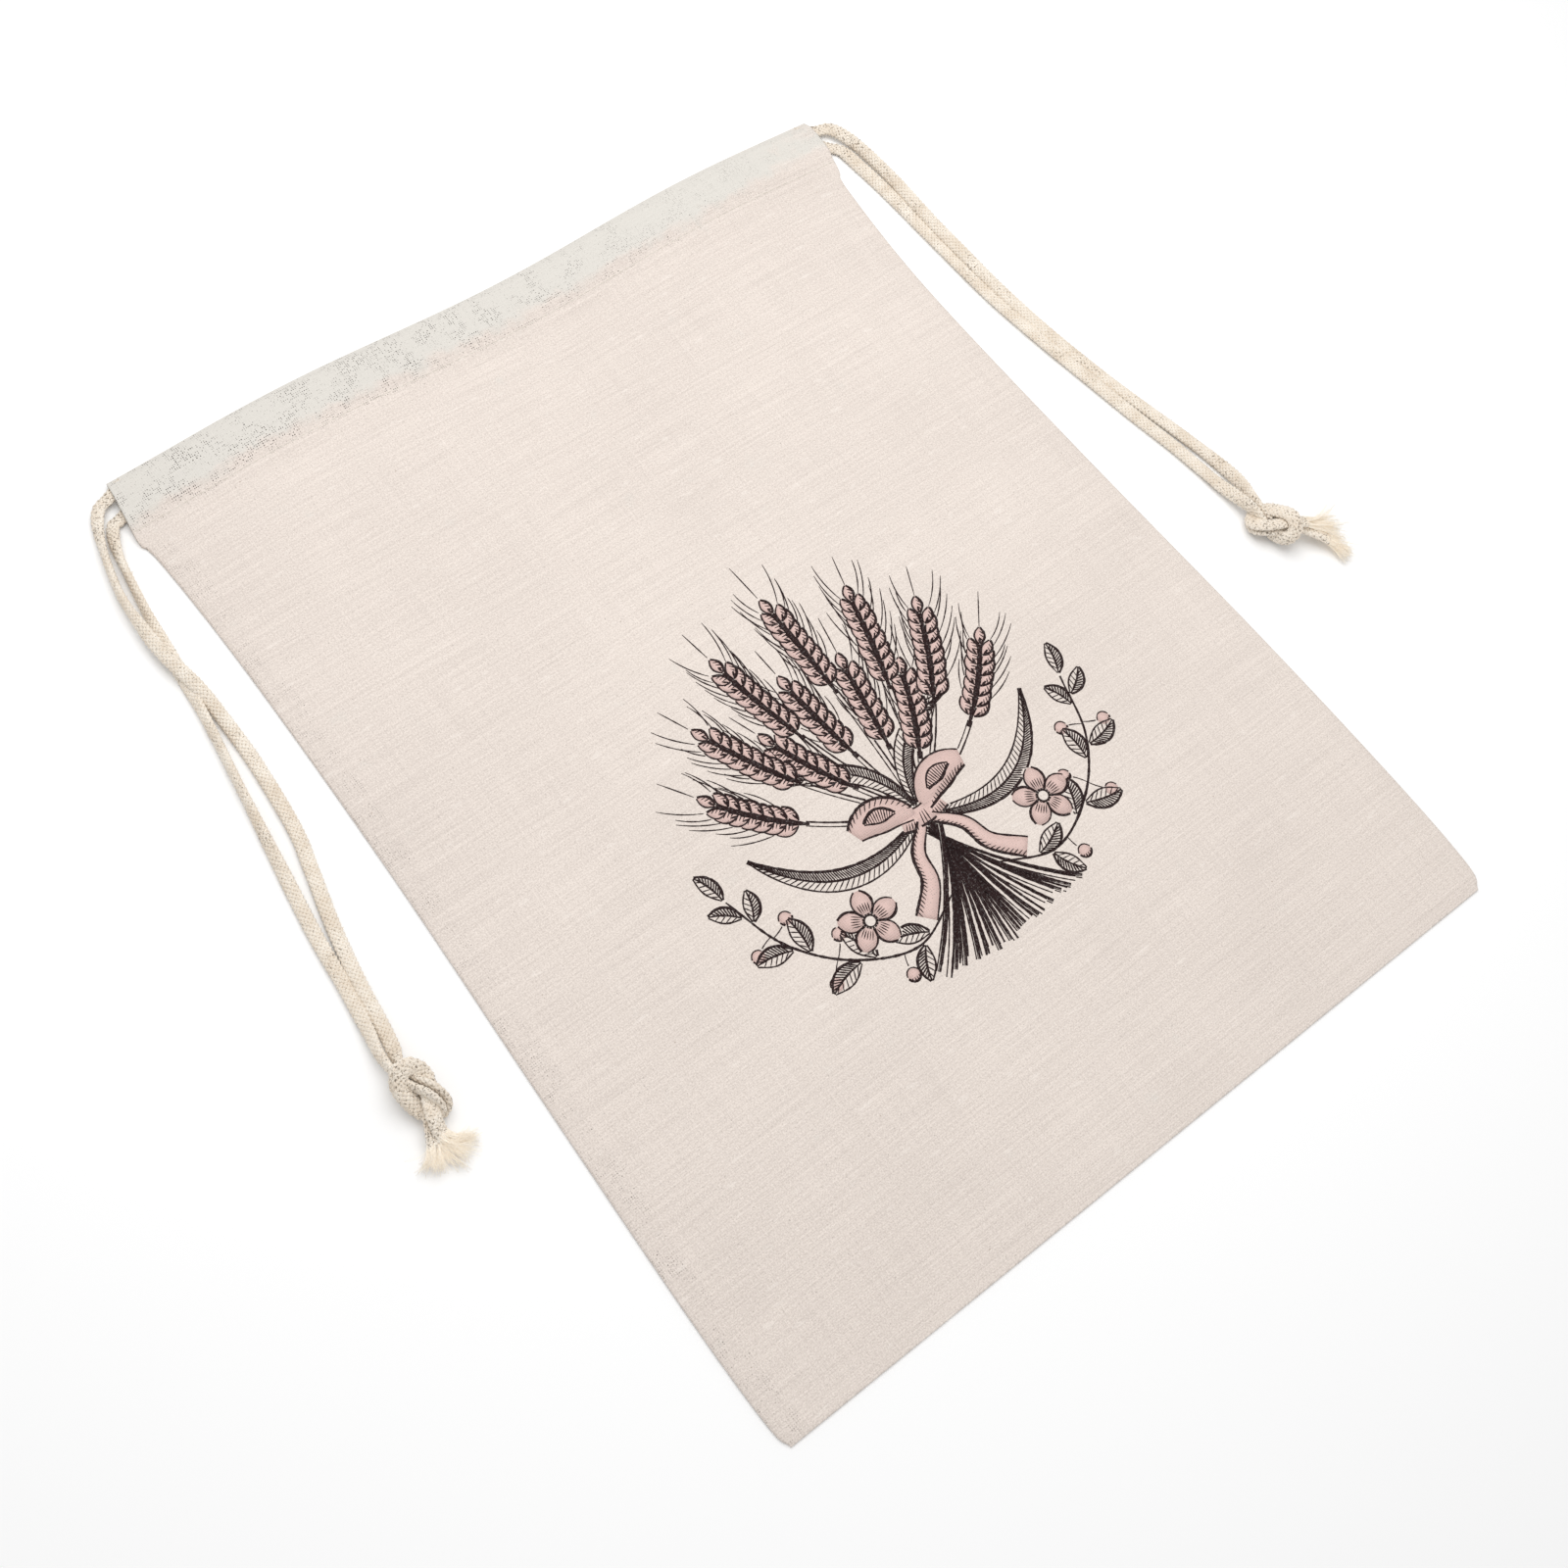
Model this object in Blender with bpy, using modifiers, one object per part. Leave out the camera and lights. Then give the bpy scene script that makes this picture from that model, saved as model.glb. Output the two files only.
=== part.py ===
"""A linen bread bag with a drawcord casing, lying flat with its mouth towards +Y.

One cut of cloth is folded across the bottom and sewn up both sides. Each mouth edge is turned in
to make a casing, so there is one casing in the front and one in the back. A braided cord runs
through each casing, and the two cords are knotted together beside the bag at either end.
Tables are in millimetres. Built objects are in metres, +Z up, resting on z = 0.
"""

import math

import bmesh
import bpy
import numpy as np
from mathutils import Matrix, Vector

MM = 0.001
OBJECT_NAME = "linen_bread_bag"

# Cloth, in millimetres
CLOTH = 1.0  # thickness of one layer
LAYER_GAP = 0.3
LAYER_PITCH = CLOTH + LAYER_GAP
CORD = 3.2  # diameter of a drawcord
CORD_ROOM = CORD + LAYER_GAP  # how far a cord lifts the layers above it
BACK_LAYER, BACK_HEM, FRONT_HEM, FRONT_LAYER = range(4)  # the stack in the casing, from the table up

# Lines across the bag, in millimetres along Y
MOUTH_Y = 190.8
BOTTOM_Y = -192.3
FRONT_CORD_Y = 185.8
BACK_CORD_Y = 177.2
CORD_CREST = 1.3  # half of the level stretch of cloth over a cord
HEM_EDGE_Y = 169.5  # where the turned-in hems are stitched down
SEAM_END_Y = 163.0  # the side seams stop here, below the casings
WAVE_END_Y = 120.0  # the mouth's waves die out by here
FRONT_RISE_Y = 187.4  # the front layer has climbed over its cord by here
HEM_LEVEL_Y = 183.5  # the hems lie flat between here and the mouth

COLUMNS = 22
BODY_ROWS = 18
CORNER_ROWS = (0.0, 2.5, 8.0)  # above the bottom fold, where the corners are rounded

# The finished outline: the bag's left and right edges at each height.
OUTLINE = (
    # name, y, left x, right x
    ("mouth", 192.0, -150.8, 149.6),
    ("casing", 180.0, -152.0, 149.8),
    ("seam end", 166.0, -153.3, 147.8),
    ("nick", 157.0, -150.9, 145.2),
    ("waist", 105.0, -148.7, 142.6),
    ("middle", 20.0, -148.9, 145.8),
    ("lower", -75.0, -151.7, 151.2),
    ("belly", -145.0, -153.5, 153.5),
    ("corner", -184.0, -153.2, 153.0),
    ("bottom", -192.4, -151.2, 149.6),
)

# The mouth edge waves a little along X.
WAVE_HEIGHT, WAVE_LENGTH, WAVE_CREST_X = 1.5, 175.0, -83.0

# Where the front layer stands up off the back one.
SEAM_REACH = 0.16  # share of the width, in from each seam, where the front is held down
BOTTOM_REACH, CASING_REACH = 40.0, 30.0  # the same above the bottom fold and below the casing, in mm
SWELLS = (
    # name, x, y, reach along x, reach along y, height
    ("middle", -10.0, -30.0, 120.0, 150.0, 1.3),
    ("lower right", 85.0, -120.0, 50.0, 60.0, 0.7),
    ("lower left", -95.0, -95.0, 40.0, 70.0, 0.5),
    ("under the casing", -60.0, 125.0, 75.0, 28.0, 0.6),
    ("upper right", 75.0, 90.0, 40.0, 55.0, 0.5),
)

CORD_STEP = 9.4  # spacing of a cord tube's points
CORD_SAMPLES = 12  # between two route points, on the smooth curve through them
CASING_POINTS = 9  # points of a cord inside its casing
CASING_CLEARANCE = 14.0  # from a casing's end to the first of them
CORD_SIDES = 2  # bevel resolution of a thin tube, which gives 8 sides
TABLE = CORD / 2 + 0.05  # a cord's middle where it lies on the table

# Free runs of the two cords, from the end of the casing to the knot: x, y, z in millimetres.
FRONT_LEFT = (
    (-153.0, 184.6, 5.5),
    (-157.6, 182.6, 4.8),
    (-161.6, 176.0, 3.1),
    (-165.3, 164.0, 2.0),
    (-168.1, 150.0, 2.8),
    (-168.6, 136.0, 4.9),
    (-167.6, 122.5, 5.3),
    (-164.9, 108.0, 4.8),
    (-163.8, 94.0, 2.3),
    (-163.6, 75.0, TABLE),
    (-165.4, 50.0, TABLE),
    (-168.3, 36.0, TABLE),
    (-173.0, 15.6, TABLE),
    (-176.5, -5.2, 2.3),
    (-178.1, -19.0, 3.7),
    (-179.7, -29.0, 5.3),
    (-180.3, -34.0, 6.3),
)
BACK_LEFT = (
    (-153.6, 176.2, 2.9),
    (-157.0, 174.9, 2.3),
    (-160.5, 166.0, TABLE),
    (-163.5, 147.0, TABLE),
    (-165.2, 132.0, TABLE),
    (-166.4, 118.0, TABLE),
    (-167.5, 105.0, TABLE),
    (-169.0, 92.5, TABLE),
    (-171.2, 76.5, TABLE),
    (-175.6, 43.5, TABLE),
    (-179.0, 16.3, TABLE),
    (-180.5, -3.0, TABLE),
    (-182.3, -17.8, 3.1),
    (-183.9, -27.5, 4.9),
    (-184.2, -34.0, 6.3),
)
FRONT_RIGHT = (
    (150.8, 185.0, 5.5),
    (156.0, 182.6, 5.1),
    (159.3, 175.0, 4.3),
    (161.0, 164.0, 4.0),
    (161.6, 152.0, 4.2),
    (161.9, 140.0, 4.1),
    (162.4, 125.0, 3.8),
    (163.5, 108.0, 3.7),
    (165.0, 90.0, 3.2),
    (167.9, 70.5, 2.2),
    (171.2, 53.0, TABLE),
    (175.0, 34.8, TABLE),
    (179.4, 17.0, TABLE),
    (183.4, 1.8, TABLE),
    (186.7, -13.1, TABLE),
    (187.3, -26.0, 2.9),
    (184.9, -36.6, 6.3),
)
BACK_RIGHT = (
    (151.3, 176.4, 2.9),
    (154.4, 172.6, 2.1),
    (155.8, 162.0, TABLE),
    (157.1, 150.0, TABLE),
    (158.1, 138.0, TABLE),
    (158.9, 124.0, TABLE),
    (160.0, 107.0, TABLE),
    (161.2, 90.0, TABLE),
    (163.1, 75.5, TABLE),
    (165.8, 59.0, TABLE),
    (169.3, 40.5, TABLE),
    (173.5, 18.3, TABLE),
    (177.5, -0.4, TABLE),
    (180.2, -18.0, 2.1),
    (181.2, -29.5, 3.9),
    (180.8, -36.8, 6.3),
)

# A tight overhand knot of the doubled cord, in widths of the pair, with x along the cord.
# This is its first half: the second is the first turned half round on the knot's y axis.
PAIR = 4.4  # width of the two cords pressed together
HALF_KNOT = (
    (-0.7, 0.16, 0.33),
    (0.5, 0.81, 0.35),
    (1.42, 0.81, -0.4),
    (1.62, 0.07, -0.9),
    (0.96, -0.68, -0.64),
    (0.0, -0.81, 0.0),
)
KNOT_SIDES = 3  # bevel resolution
KNOT_SAMPLES = 5  # between two points of a knot's path
KNOT_VOXEL = 1.35
KNOT_WELD = 0.01  # joins the cap's points to the tube's before the remesh
KNOT_MIDDLE_Z = 6.6
KNOTS = {
    # name: middle x, y, heading in degrees from +X, roll in degrees, size,
    # then where the pair goes in and comes out, as (along the heading, sideways)
    "knot_left": (-181.0, -44.5, -89.0, 15.0, 1.05, (-9.7, -1.3), (9.7, -1.4)),
    "knot_right": (184.6, -47.0, -58.0, 200.0, 1.0, (-9.0, 3.3), (9.9, 3.4)),
}

# Frayed cord ends past each knot: each leaves its knot at the neck and fans out to a blunt brush.
TAIL_START, TAIL_END = 1.4, 2.4  # radius at the neck and across the brush
TAILS = (
    # name, knot, then start, bend and tip as (along the knot's heading, sideways, z)
    ("tail_left_outer", "knot_left", (11.0, -3.4, 5.6), (15.5, -5.8, 4.0), (23.0, -8.6, 2.6)),
    ("tail_left_inner", "knot_left", (11.2, 0.5, 5.6), (15.5, -0.8, 4.0), (24.4, 1.6, 2.6)),
    ("tail_right_outer", "knot_right", (10.5, 4.6, 5.6), (15.6, 9.0, 4.2), (22.0, 13.4, 2.6)),
    ("tail_right_inner", "knot_right", (11.3, 1.5, 5.6), (20.5, 3.0, 4.0), (31.0, 3.1, 2.6)),
)
TAIL_STEPS = 5

FINISHES = {
    # name: base colour, roughness
    "natural_linen": ((0.80, 0.73, 0.66, 1.0), 0.92),
    "straw_cord": ((0.78, 0.68, 0.53, 1.0), 0.88),
}


def clear_scene():
    for obj in list(bpy.data.objects):
        bpy.data.objects.remove(obj, do_unlink=True)


def finish(name):
    """The named material, made the first time it is asked for."""
    if name in bpy.data.materials:
        return bpy.data.materials[name]
    colour, roughness = FINISHES[name]
    material = bpy.data.materials.new(name)
    material.use_nodes = True
    shader = material.node_tree.nodes["Principled BSDF"]
    shader.inputs["Base Color"].default_value = colour
    shader.inputs["Roughness"].default_value = roughness
    shader.inputs["Metallic"].default_value = 0.0
    return material


def add_object(name, data, material, collection):
    obj = bpy.data.objects.new(name, data)
    data.materials.append(finish(material))
    collection.objects.link(obj)
    return obj


def smooth_curve(points, samples=CORD_SAMPLES):
    """A Catmull-Rom curve through the points, as an array with that many samples between two."""
    p = np.array(points, dtype=float)
    p = np.vstack([2 * p[0] - p[1], p, 2 * p[-1] - p[-2]])
    t = np.linspace(0.0, 1.0, samples, endpoint=False)[:, None]
    spans = []
    for a, b, c, d in zip(p[:-3], p[1:-2], p[2:-1], p[3:]):
        spans.append(0.5 * (2 * b + (c - a) * t + (2 * a - 5 * b + 4 * c - d) * t**2
                            + (3 * b - a - 3 * c + d) * t**3))
    return np.vstack([*spans, p[-2:-1]])


def evenly_spaced(line, step):
    """Points about that far apart along the line, its two ends among them."""
    along = np.concatenate([[0.0], np.cumsum(np.linalg.norm(np.diff(line, axis=0), axis=1))])
    at = np.linspace(0.0, along[-1], round(along[-1] / step) + 1)
    return np.stack([np.interp(at, along, line[:, k]) for k in range(3)], axis=1)


def smoothstep(value, start, end):
    t = min(max((value - start) / (end - start), 0.0), 1.0)
    return t * t * (3.0 - 2.0 * t)


def mouth_wave(x, y):
    """How far the mouth's waviness moves a point along Y."""
    wave = WAVE_HEIGHT * math.cos(2 * math.pi * (x - WAVE_CREST_X) / WAVE_LENGTH)
    return wave * smoothstep(y, WAVE_END_Y, SEAM_END_Y)


def edges_at(y, outline):
    """The left and right edge of the cloth's middle surface at that height."""
    left = np.interp(y, outline[:, 0], outline[:, 1])
    right = np.interp(y, outline[:, 0], outline[:, 2])
    return left + CLOTH / 2, right - CLOTH / 2


def hem_lift(y):
    """1 where the back cord lifts the two hems, 0 clear of it, with straight ramps between."""
    stops = (HEM_EDGE_Y, BACK_CORD_Y - CORD_CREST, BACK_CORD_Y + CORD_CREST, HEM_LEVEL_Y)
    return float(np.interp(y, stops, (0.0, 1.0, 1.0, 0.0)))


def front_lift(y):
    """The front layer lies over both cords, and comes down to the mouth and to the hem's edge."""
    stops = (HEM_EDGE_Y, BACK_CORD_Y - CORD_CREST, FRONT_RISE_Y, MOUTH_Y)
    return float(np.interp(y, stops, (0.0, 1.0, 1.0, 0.0)))


def swell(x, y, left, right):
    """How far the front layer stands off the back one, none of it at the seams or the casing."""
    across = (x - left) / (right - left)
    held = min(smoothstep(across, 0.0, SEAM_REACH), smoothstep(1.0 - across, 0.0, SEAM_REACH))
    held *= smoothstep(y, BOTTOM_Y, BOTTOM_Y + BOTTOM_REACH)
    held *= 1.0 - smoothstep(y, SEAM_END_Y - CASING_REACH, SEAM_END_Y)
    total = 0.0
    for _, mid_x, mid_y, reach_x, reach_y, height in SWELLS:
        total += height * math.exp(-(((x - mid_x) / reach_x) ** 2) - ((y - mid_y) / reach_y) ** 2)
    return held * total


def layer_height(layer, x, y, left, right):
    """The height of a layer's middle surface."""
    base = CLOTH / 2
    if layer == BACK_LAYER:
        return base
    if layer in (BACK_HEM, FRONT_HEM):
        return base + layer * LAYER_PITCH + CORD_ROOM * hem_lift(y)
    under = 1.0 + 2.0 * float(np.interp(y, (SEAM_END_Y, HEM_EDGE_Y), (0.0, 1.0)))
    return base + under * LAYER_PITCH + CORD_ROOM * front_lift(y) + swell(x, y, left, right)


def strip_rows():
    """(layer, y) for each row of the strip: from the front hem's edge up to the mouth, down the front,
    round the bottom fold, up the back and down the back hem."""
    hem = [HEM_EDGE_Y, BACK_CORD_Y - CORD_CREST, BACK_CORD_Y + CORD_CREST, HEM_LEVEL_Y, MOUTH_Y]
    body = [BOTTOM_Y + rise for rise in CORNER_ROWS]
    body += list(np.linspace(body[-1], SEAM_END_Y, BODY_ROWS + 1))[1:]
    casing = [HEM_EDGE_Y, BACK_CORD_Y - CORD_CREST, FRONT_RISE_Y, MOUTH_Y]
    rows = [(FRONT_HEM, y) for y in hem]
    rows += [(FRONT_LAYER, y) for y in reversed(body + casing)]
    rows += [(BACK_LAYER, y) for y in body + [HEM_EDGE_Y, MOUTH_Y]]
    rows += [(BACK_HEM, y) for y in reversed(hem)]
    return rows


def sew_side(bm, rows, grid, column):
    """Closes one side from the bottom fold to the seam's end, with a face between each pair of rows."""
    front = {y: grid[i][column] for i, (layer, y) in enumerate(rows) if layer == FRONT_LAYER}
    back = {y: grid[i][column] for i, (layer, y) in enumerate(rows) if layer == BACK_LAYER}
    sewn = sorted(y for y in front if y <= SEAM_END_Y)
    for low, high in zip(sewn[:-1], sewn[1:]):
        bm.faces.new((front[low], front[high], back[high], back[low]))


def make_cloth(collection):
    """The bag's one piece of cloth, as a sheet that is folded, sewn at the sides and given its thickness."""
    outline = smooth_curve([row[1:] for row in OUTLINE])[::-1]
    rows = strip_rows()
    bm = bmesh.new()
    bmesh.ops.create_grid(bm, x_segments=COLUMNS, y_segments=len(rows) - 1, size=0.5)
    bm.verts.ensure_lookup_table()
    grid = [[bm.verts[i * (COLUMNS + 1) + j] for j in range(COLUMNS + 1)] for i in range(len(rows))]
    for (layer, y), row in zip(rows, grid):
        left, right = edges_at(y, outline)
        for j, vert in enumerate(row):
            x = left + (right - left) * j / COLUMNS
            z = layer_height(layer, x, y, left, right)
            vert.co = Vector((x, y + mouth_wave(x, y), z)) * MM
    for column in (0, COLUMNS):
        sew_side(bm, rows, grid, column)
    bmesh.ops.recalc_face_normals(bm, faces=bm.faces)
    mesh = bpy.data.meshes.new("bag_cloth")
    bm.to_mesh(mesh)
    bm.free()
    cloth = add_object("bag_cloth", mesh, "natural_linen", collection)
    solid = cloth.modifiers.new("Cloth thickness", "SOLIDIFY")
    solid.thickness = CLOTH * MM
    solid.offset = 0.0
    solid.use_even_offset = True
    solid.use_quality_normals = True
    return cloth


def casing_run(left_end, right_end, y, z):
    """Points of a cord inside its casing, where it follows the mouth's waves."""
    across = np.linspace(left_end, right_end, CASING_POINTS)
    return [(x, y + mouth_wave(x, y), z) for x in across]


def make_tube(name, line, radius, sides, collection, radii=None):
    """A cord as a curve with round section and closed ends. The line is in millimetres."""
    curve = bpy.data.curves.new(name, "CURVE")
    curve.dimensions = "3D"
    curve.bevel_depth = radius * MM
    curve.bevel_resolution = sides
    curve.use_fill_caps = True
    spline = curve.splines.new("POLY")
    spline.points.add(len(line) - 1)
    for i, place in enumerate(line):
        spline.points[i].co = (*(place * MM), 1.0)
        spline.points[i].radius = 1.0 if radii is None else radii[i]
    return add_object(name, curve, "straw_cord", collection)


def flat_frame(knot):
    """Places a knot's own axes on the table, in millimetres: x is the way that its tails point."""
    middle_x, middle_y, heading = KNOTS[knot][:3]
    return Matrix.Translation((middle_x, middle_y, 0.0)) @ Matrix.Rotation(math.radians(heading), 4, "Z")


def make_drawcord(name, left, right, y, z, collection):
    """One cord from the left knot through its casing to the right knot. It never dips below the table."""
    inside = casing_run(left[0][0] + CASING_CLEARANCE, right[0][0] - CASING_CLEARANCE, y, z)
    line = smooth_curve([*reversed(left), *inside, *right])
    line[:, 2] = np.maximum(line[:, 2], TABLE)
    make_tube(name, evenly_spaced(line, CORD_STEP), CORD / 2, CORD_SIDES, collection)


def knot_route(name):
    """The path of the pair of cords through a knot, in millimetres."""
    roll, size, enter, leave = KNOTS[name][3:]
    second = [(-x, y, -z) for x, y, z in reversed(HALF_KNOT[:-1])]
    turn = Matrix.Rotation(math.radians(roll), 4, "X") @ Matrix.Scale(PAIR * size, 4)
    path = [Vector((*enter, 0.0)), *(turn @ Vector(p) for p in (*HALF_KNOT, *second)), Vector((*leave, 0.0))]
    frame = flat_frame(name) @ Matrix.Translation((0.0, 0.0, KNOT_MIDDLE_Z))
    return [frame @ p for p in path]


def make_knot(name, collection):
    """A tight overhand knot of the two cords, with its touching turns fused into one solid."""
    line = smooth_curve(knot_route(name), KNOT_SAMPLES)
    radius = PAIR * KNOTS[name][4] / 2
    tube = make_tube(name + "_tube", line, radius, KNOT_SIDES, collection)
    bpy.context.view_layer.update()
    mesh = bpy.data.meshes.new_from_object(tube.evaluated_get(bpy.context.evaluated_depsgraph_get()))
    bpy.data.objects.remove(tube, do_unlink=True)
    bm = bmesh.new()
    bm.from_mesh(mesh)
    bmesh.ops.remove_doubles(bm, verts=bm.verts, dist=KNOT_WELD * MM)
    bm.to_mesh(mesh)
    bm.free()
    mesh.name = name
    mesh.materials.clear()
    knot = add_object(name, mesh, "straw_cord", collection)
    fuse = knot.modifiers.new("Fused turns", "REMESH")
    fuse.mode = "VOXEL"
    fuse.voxel_size = KNOT_VOXEL * MM
    fuse.use_smooth_shade = True
    return knot


def make_tail(name, knot, route, collection):
    """One frayed end, from the knot's neck to its brush."""
    frame = flat_frame(knot)
    line = np.array([frame @ Vector(p) for p in smooth_curve(route, TAIL_STEPS)])
    radii = np.linspace(TAIL_START, TAIL_END, len(line)) / TAIL_START
    make_tube(name, line, TAIL_START, CORD_SIDES, collection, radii)


def main():
    clear_scene()
    collection = bpy.data.collections.new(OBJECT_NAME)
    bpy.context.scene.collection.children.link(collection)
    make_cloth(collection)
    back_z = CLOTH + LAYER_GAP + CORD / 2
    front_z = back_z + (FRONT_HEM - BACK_LAYER) * LAYER_PITCH
    make_drawcord("drawcord_front", FRONT_LEFT, FRONT_RIGHT, FRONT_CORD_Y, front_z, collection)
    make_drawcord("drawcord_back", BACK_LEFT, BACK_RIGHT, BACK_CORD_Y, back_z, collection)
    for name in KNOTS:
        make_knot(name, collection)
    for name, knot, *route in TAILS:
        make_tail(name, knot, route, collection)


main()
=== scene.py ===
import math

import bmesh
import bpy
import numpy as np
from mathutils import Matrix, Vector


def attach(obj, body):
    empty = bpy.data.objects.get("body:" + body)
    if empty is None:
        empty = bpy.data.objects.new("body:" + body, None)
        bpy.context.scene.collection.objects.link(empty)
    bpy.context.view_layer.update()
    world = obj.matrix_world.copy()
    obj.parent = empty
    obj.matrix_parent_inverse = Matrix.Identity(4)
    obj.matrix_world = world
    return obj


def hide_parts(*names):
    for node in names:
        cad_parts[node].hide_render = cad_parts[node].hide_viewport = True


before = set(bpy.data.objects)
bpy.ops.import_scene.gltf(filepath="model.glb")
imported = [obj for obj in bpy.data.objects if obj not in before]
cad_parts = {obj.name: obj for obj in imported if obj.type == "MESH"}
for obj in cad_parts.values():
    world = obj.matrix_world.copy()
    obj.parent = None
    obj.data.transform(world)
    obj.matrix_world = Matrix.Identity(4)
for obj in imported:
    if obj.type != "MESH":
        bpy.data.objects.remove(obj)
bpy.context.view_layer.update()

MM = 0.001

# ---- sizes, in millimetres

# The bag's outline, as it is cut and sewn.
MOUTH_Y = 190.8
BOTTOM_Y = -192.3
FRONT_CORD_Y = 185.8
BACK_CORD_Y = 177.2
BETWEEN_CORDS_Y = 181.2
HEM_EDGE_Y = 169.5
SEAM_END_Y = 163.0
WAVE_END_Y = 120.0
WAVE_HEIGHT, WAVE_LENGTH, WAVE_CREST_X = 1.5, 175.0, -83.0
OUTLINE = (
    # name, y, left x, right x
    ("mouth", 192.0, -150.8, 149.6),
    ("casing", 180.0, -152.0, 149.8),
    ("seam end", 166.0, -153.3, 147.8),
    ("nick", 157.0, -150.9, 145.2),
    ("waist", 105.0, -148.7, 142.6),
    ("middle", 20.0, -148.9, 145.8),
    ("lower", -75.0, -151.7, 151.2),
    ("belly", -145.0, -153.5, 153.5),
    ("corner", -184.0, -153.2, 153.0),
    ("bottom", -192.4, -151.2, 149.6),
)

# The cloth itself
LINEN = 0.5  # thickness
PITCH = 0.62  # from one layer's middle to the next
CORD_ROOM = 1.55  # how far a flat cord lifts the layers above it
STITCH_Y = 170.4
STITCH_SPACING, STITCH_LONG, STITCH_HIGH, THREAD_RADIUS = 3.1, 2.7, 0.1, 0.15
ALLOWANCE = 8.5  # width of the seam allowance inside each side
ALLOWANCE_LIFT = 0.4
SEAM_BULGE = 0.1  # how far the folded edge stands out between front and back
BACK_LAYER, BACK_HEM, FRONT_HEM, FRONT_LAYER = range(4)
# Distances of the closer columns of points from each side edge
EDGE_COLUMNS = (0.0, 0.5, 1.1, 1.9, 3.0, 4.6, 6.4, 7.8, 8.8, 9.8, 11.2, 13.0)
MIDDLE_COLUMNS = 80
LOWEST_ROWS = (0.0, 1.0, 2.2, 3.8, 6.0, 8.6, 11.5)  # above the bottom, and the rest are even
BODY_ROWS = 106
FOLD_STEPS = 5
SWELLS = (
    # name, x, y, reach along x, reach along y, height
    ("middle", -10.0, -30.0, 120.0, 150.0, 1.2),
    ("lower right", 85.0, -120.0, 50.0, 60.0, 0.7),
    ("lower left", -95.0, -95.0, 40.0, 70.0, 0.5),
    ("under the casing", -60.0, 125.0, 75.0, 28.0, 0.6),
    ("upper right", 75.0, 90.0, 40.0, 55.0, 0.5),
)
RIPPLES = (
    # wavelength, direction in degrees, phase, height
    (61.0, 24.0, 0.3, 0.10),
    (43.0, 101.0, 1.9, 0.08),
    (29.0, 152.0, 4.1, 0.05),
    (83.0, 77.0, 2.7, 0.10),
)

# The flat braided cord
CORD_WIDE, CORD_THICK = 5.2, 2.8
TABLE = 1.65  # height of the middle of the frame's round cord where it lies on the table
YARN_WIDE, YARN_THICK = 1.22, 0.7
YARN_SWING = 0.2  # how far a yarn rises and dips as it crosses the others
YARNS_EACH_WAY = 6
YARN_SIDES, CORE_SIDES, FIBRE_SIDES, HAIR_SIDES = 5, 10, 3, 3
FIBRES_EACH = 28  # fibres that one yarn comes apart into
IN_CASING = 8.0  # how far a free run goes on inside its casing
FIBRE_POINTS = 7
HAIRS_PER_SQUARE_METRE, HAIR_LENGTH = 2.2e5, 1.7
HAIR = (0.0, 0.0, 0.0), (0.12, 0.0, 0.55), (0.5, 0.1, 0.75)  # start, bend and end, in hair lengths
HAIR_RADIUS = 0.028  # in hair lengths
PRESSED = 0.52  # share of a cord's thickness that it keeps inside a casing
BRAID_PITCH = 10.6  # a yarn's way once round the cord
STEP = 0.25  # from one point of a cord's line to the next

# Free runs of the two cords, from the end of the casing to the knot: x, y, z.
FRONT_LEFT = (
    (-153.0, 184.6, 5.5),
    (-157.6, 182.6, 4.8),
    (-161.6, 176.0, 3.1),
    (-165.3, 164.0, 2.0),
    (-168.1, 150.0, 2.8),
    (-168.6, 136.0, 4.9),
    (-167.6, 122.5, 5.3),
    (-164.9, 108.0, 4.8),
    (-163.8, 94.0, 2.3),
    (-163.6, 75.0, TABLE),
    (-165.4, 50.0, TABLE),
    (-168.3, 36.0, TABLE),
    (-173.0, 15.6, TABLE),
    (-176.5, -5.2, 2.3),
    (-178.1, -19.0, 3.7),
    (-179.7, -29.0, 5.3),
    (-180.3, -34.0, 6.3),
)
BACK_LEFT = (
    (-153.6, 176.2, 2.9),
    (-157.0, 174.9, 2.3),
    (-160.5, 166.0, TABLE),
    (-163.5, 147.0, TABLE),
    (-165.2, 132.0, TABLE),
    (-166.4, 118.0, TABLE),
    (-167.5, 105.0, TABLE),
    (-169.0, 92.5, TABLE),
    (-171.2, 76.5, TABLE),
    (-175.6, 43.5, TABLE),
    (-179.0, 16.3, TABLE),
    (-180.5, -3.0, TABLE),
    (-182.3, -17.8, 3.1),
    (-183.9, -27.5, 4.9),
    (-184.2, -34.0, 6.3),
)
FRONT_RIGHT = (
    (150.8, 185.0, 5.5),
    (156.0, 182.6, 5.1),
    (159.3, 175.0, 4.3),
    (161.0, 164.0, 4.0),
    (161.6, 152.0, 4.2),
    (161.9, 140.0, 4.1),
    (162.4, 125.0, 3.8),
    (163.5, 108.0, 3.7),
    (165.0, 90.0, 3.2),
    (167.9, 70.5, 2.2),
    (171.2, 53.0, TABLE),
    (175.0, 34.8, TABLE),
    (179.4, 17.0, TABLE),
    (183.4, 1.8, TABLE),
    (186.7, -13.1, TABLE),
    (187.3, -26.0, 2.9),
    (184.9, -36.6, 6.3),
)
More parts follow.
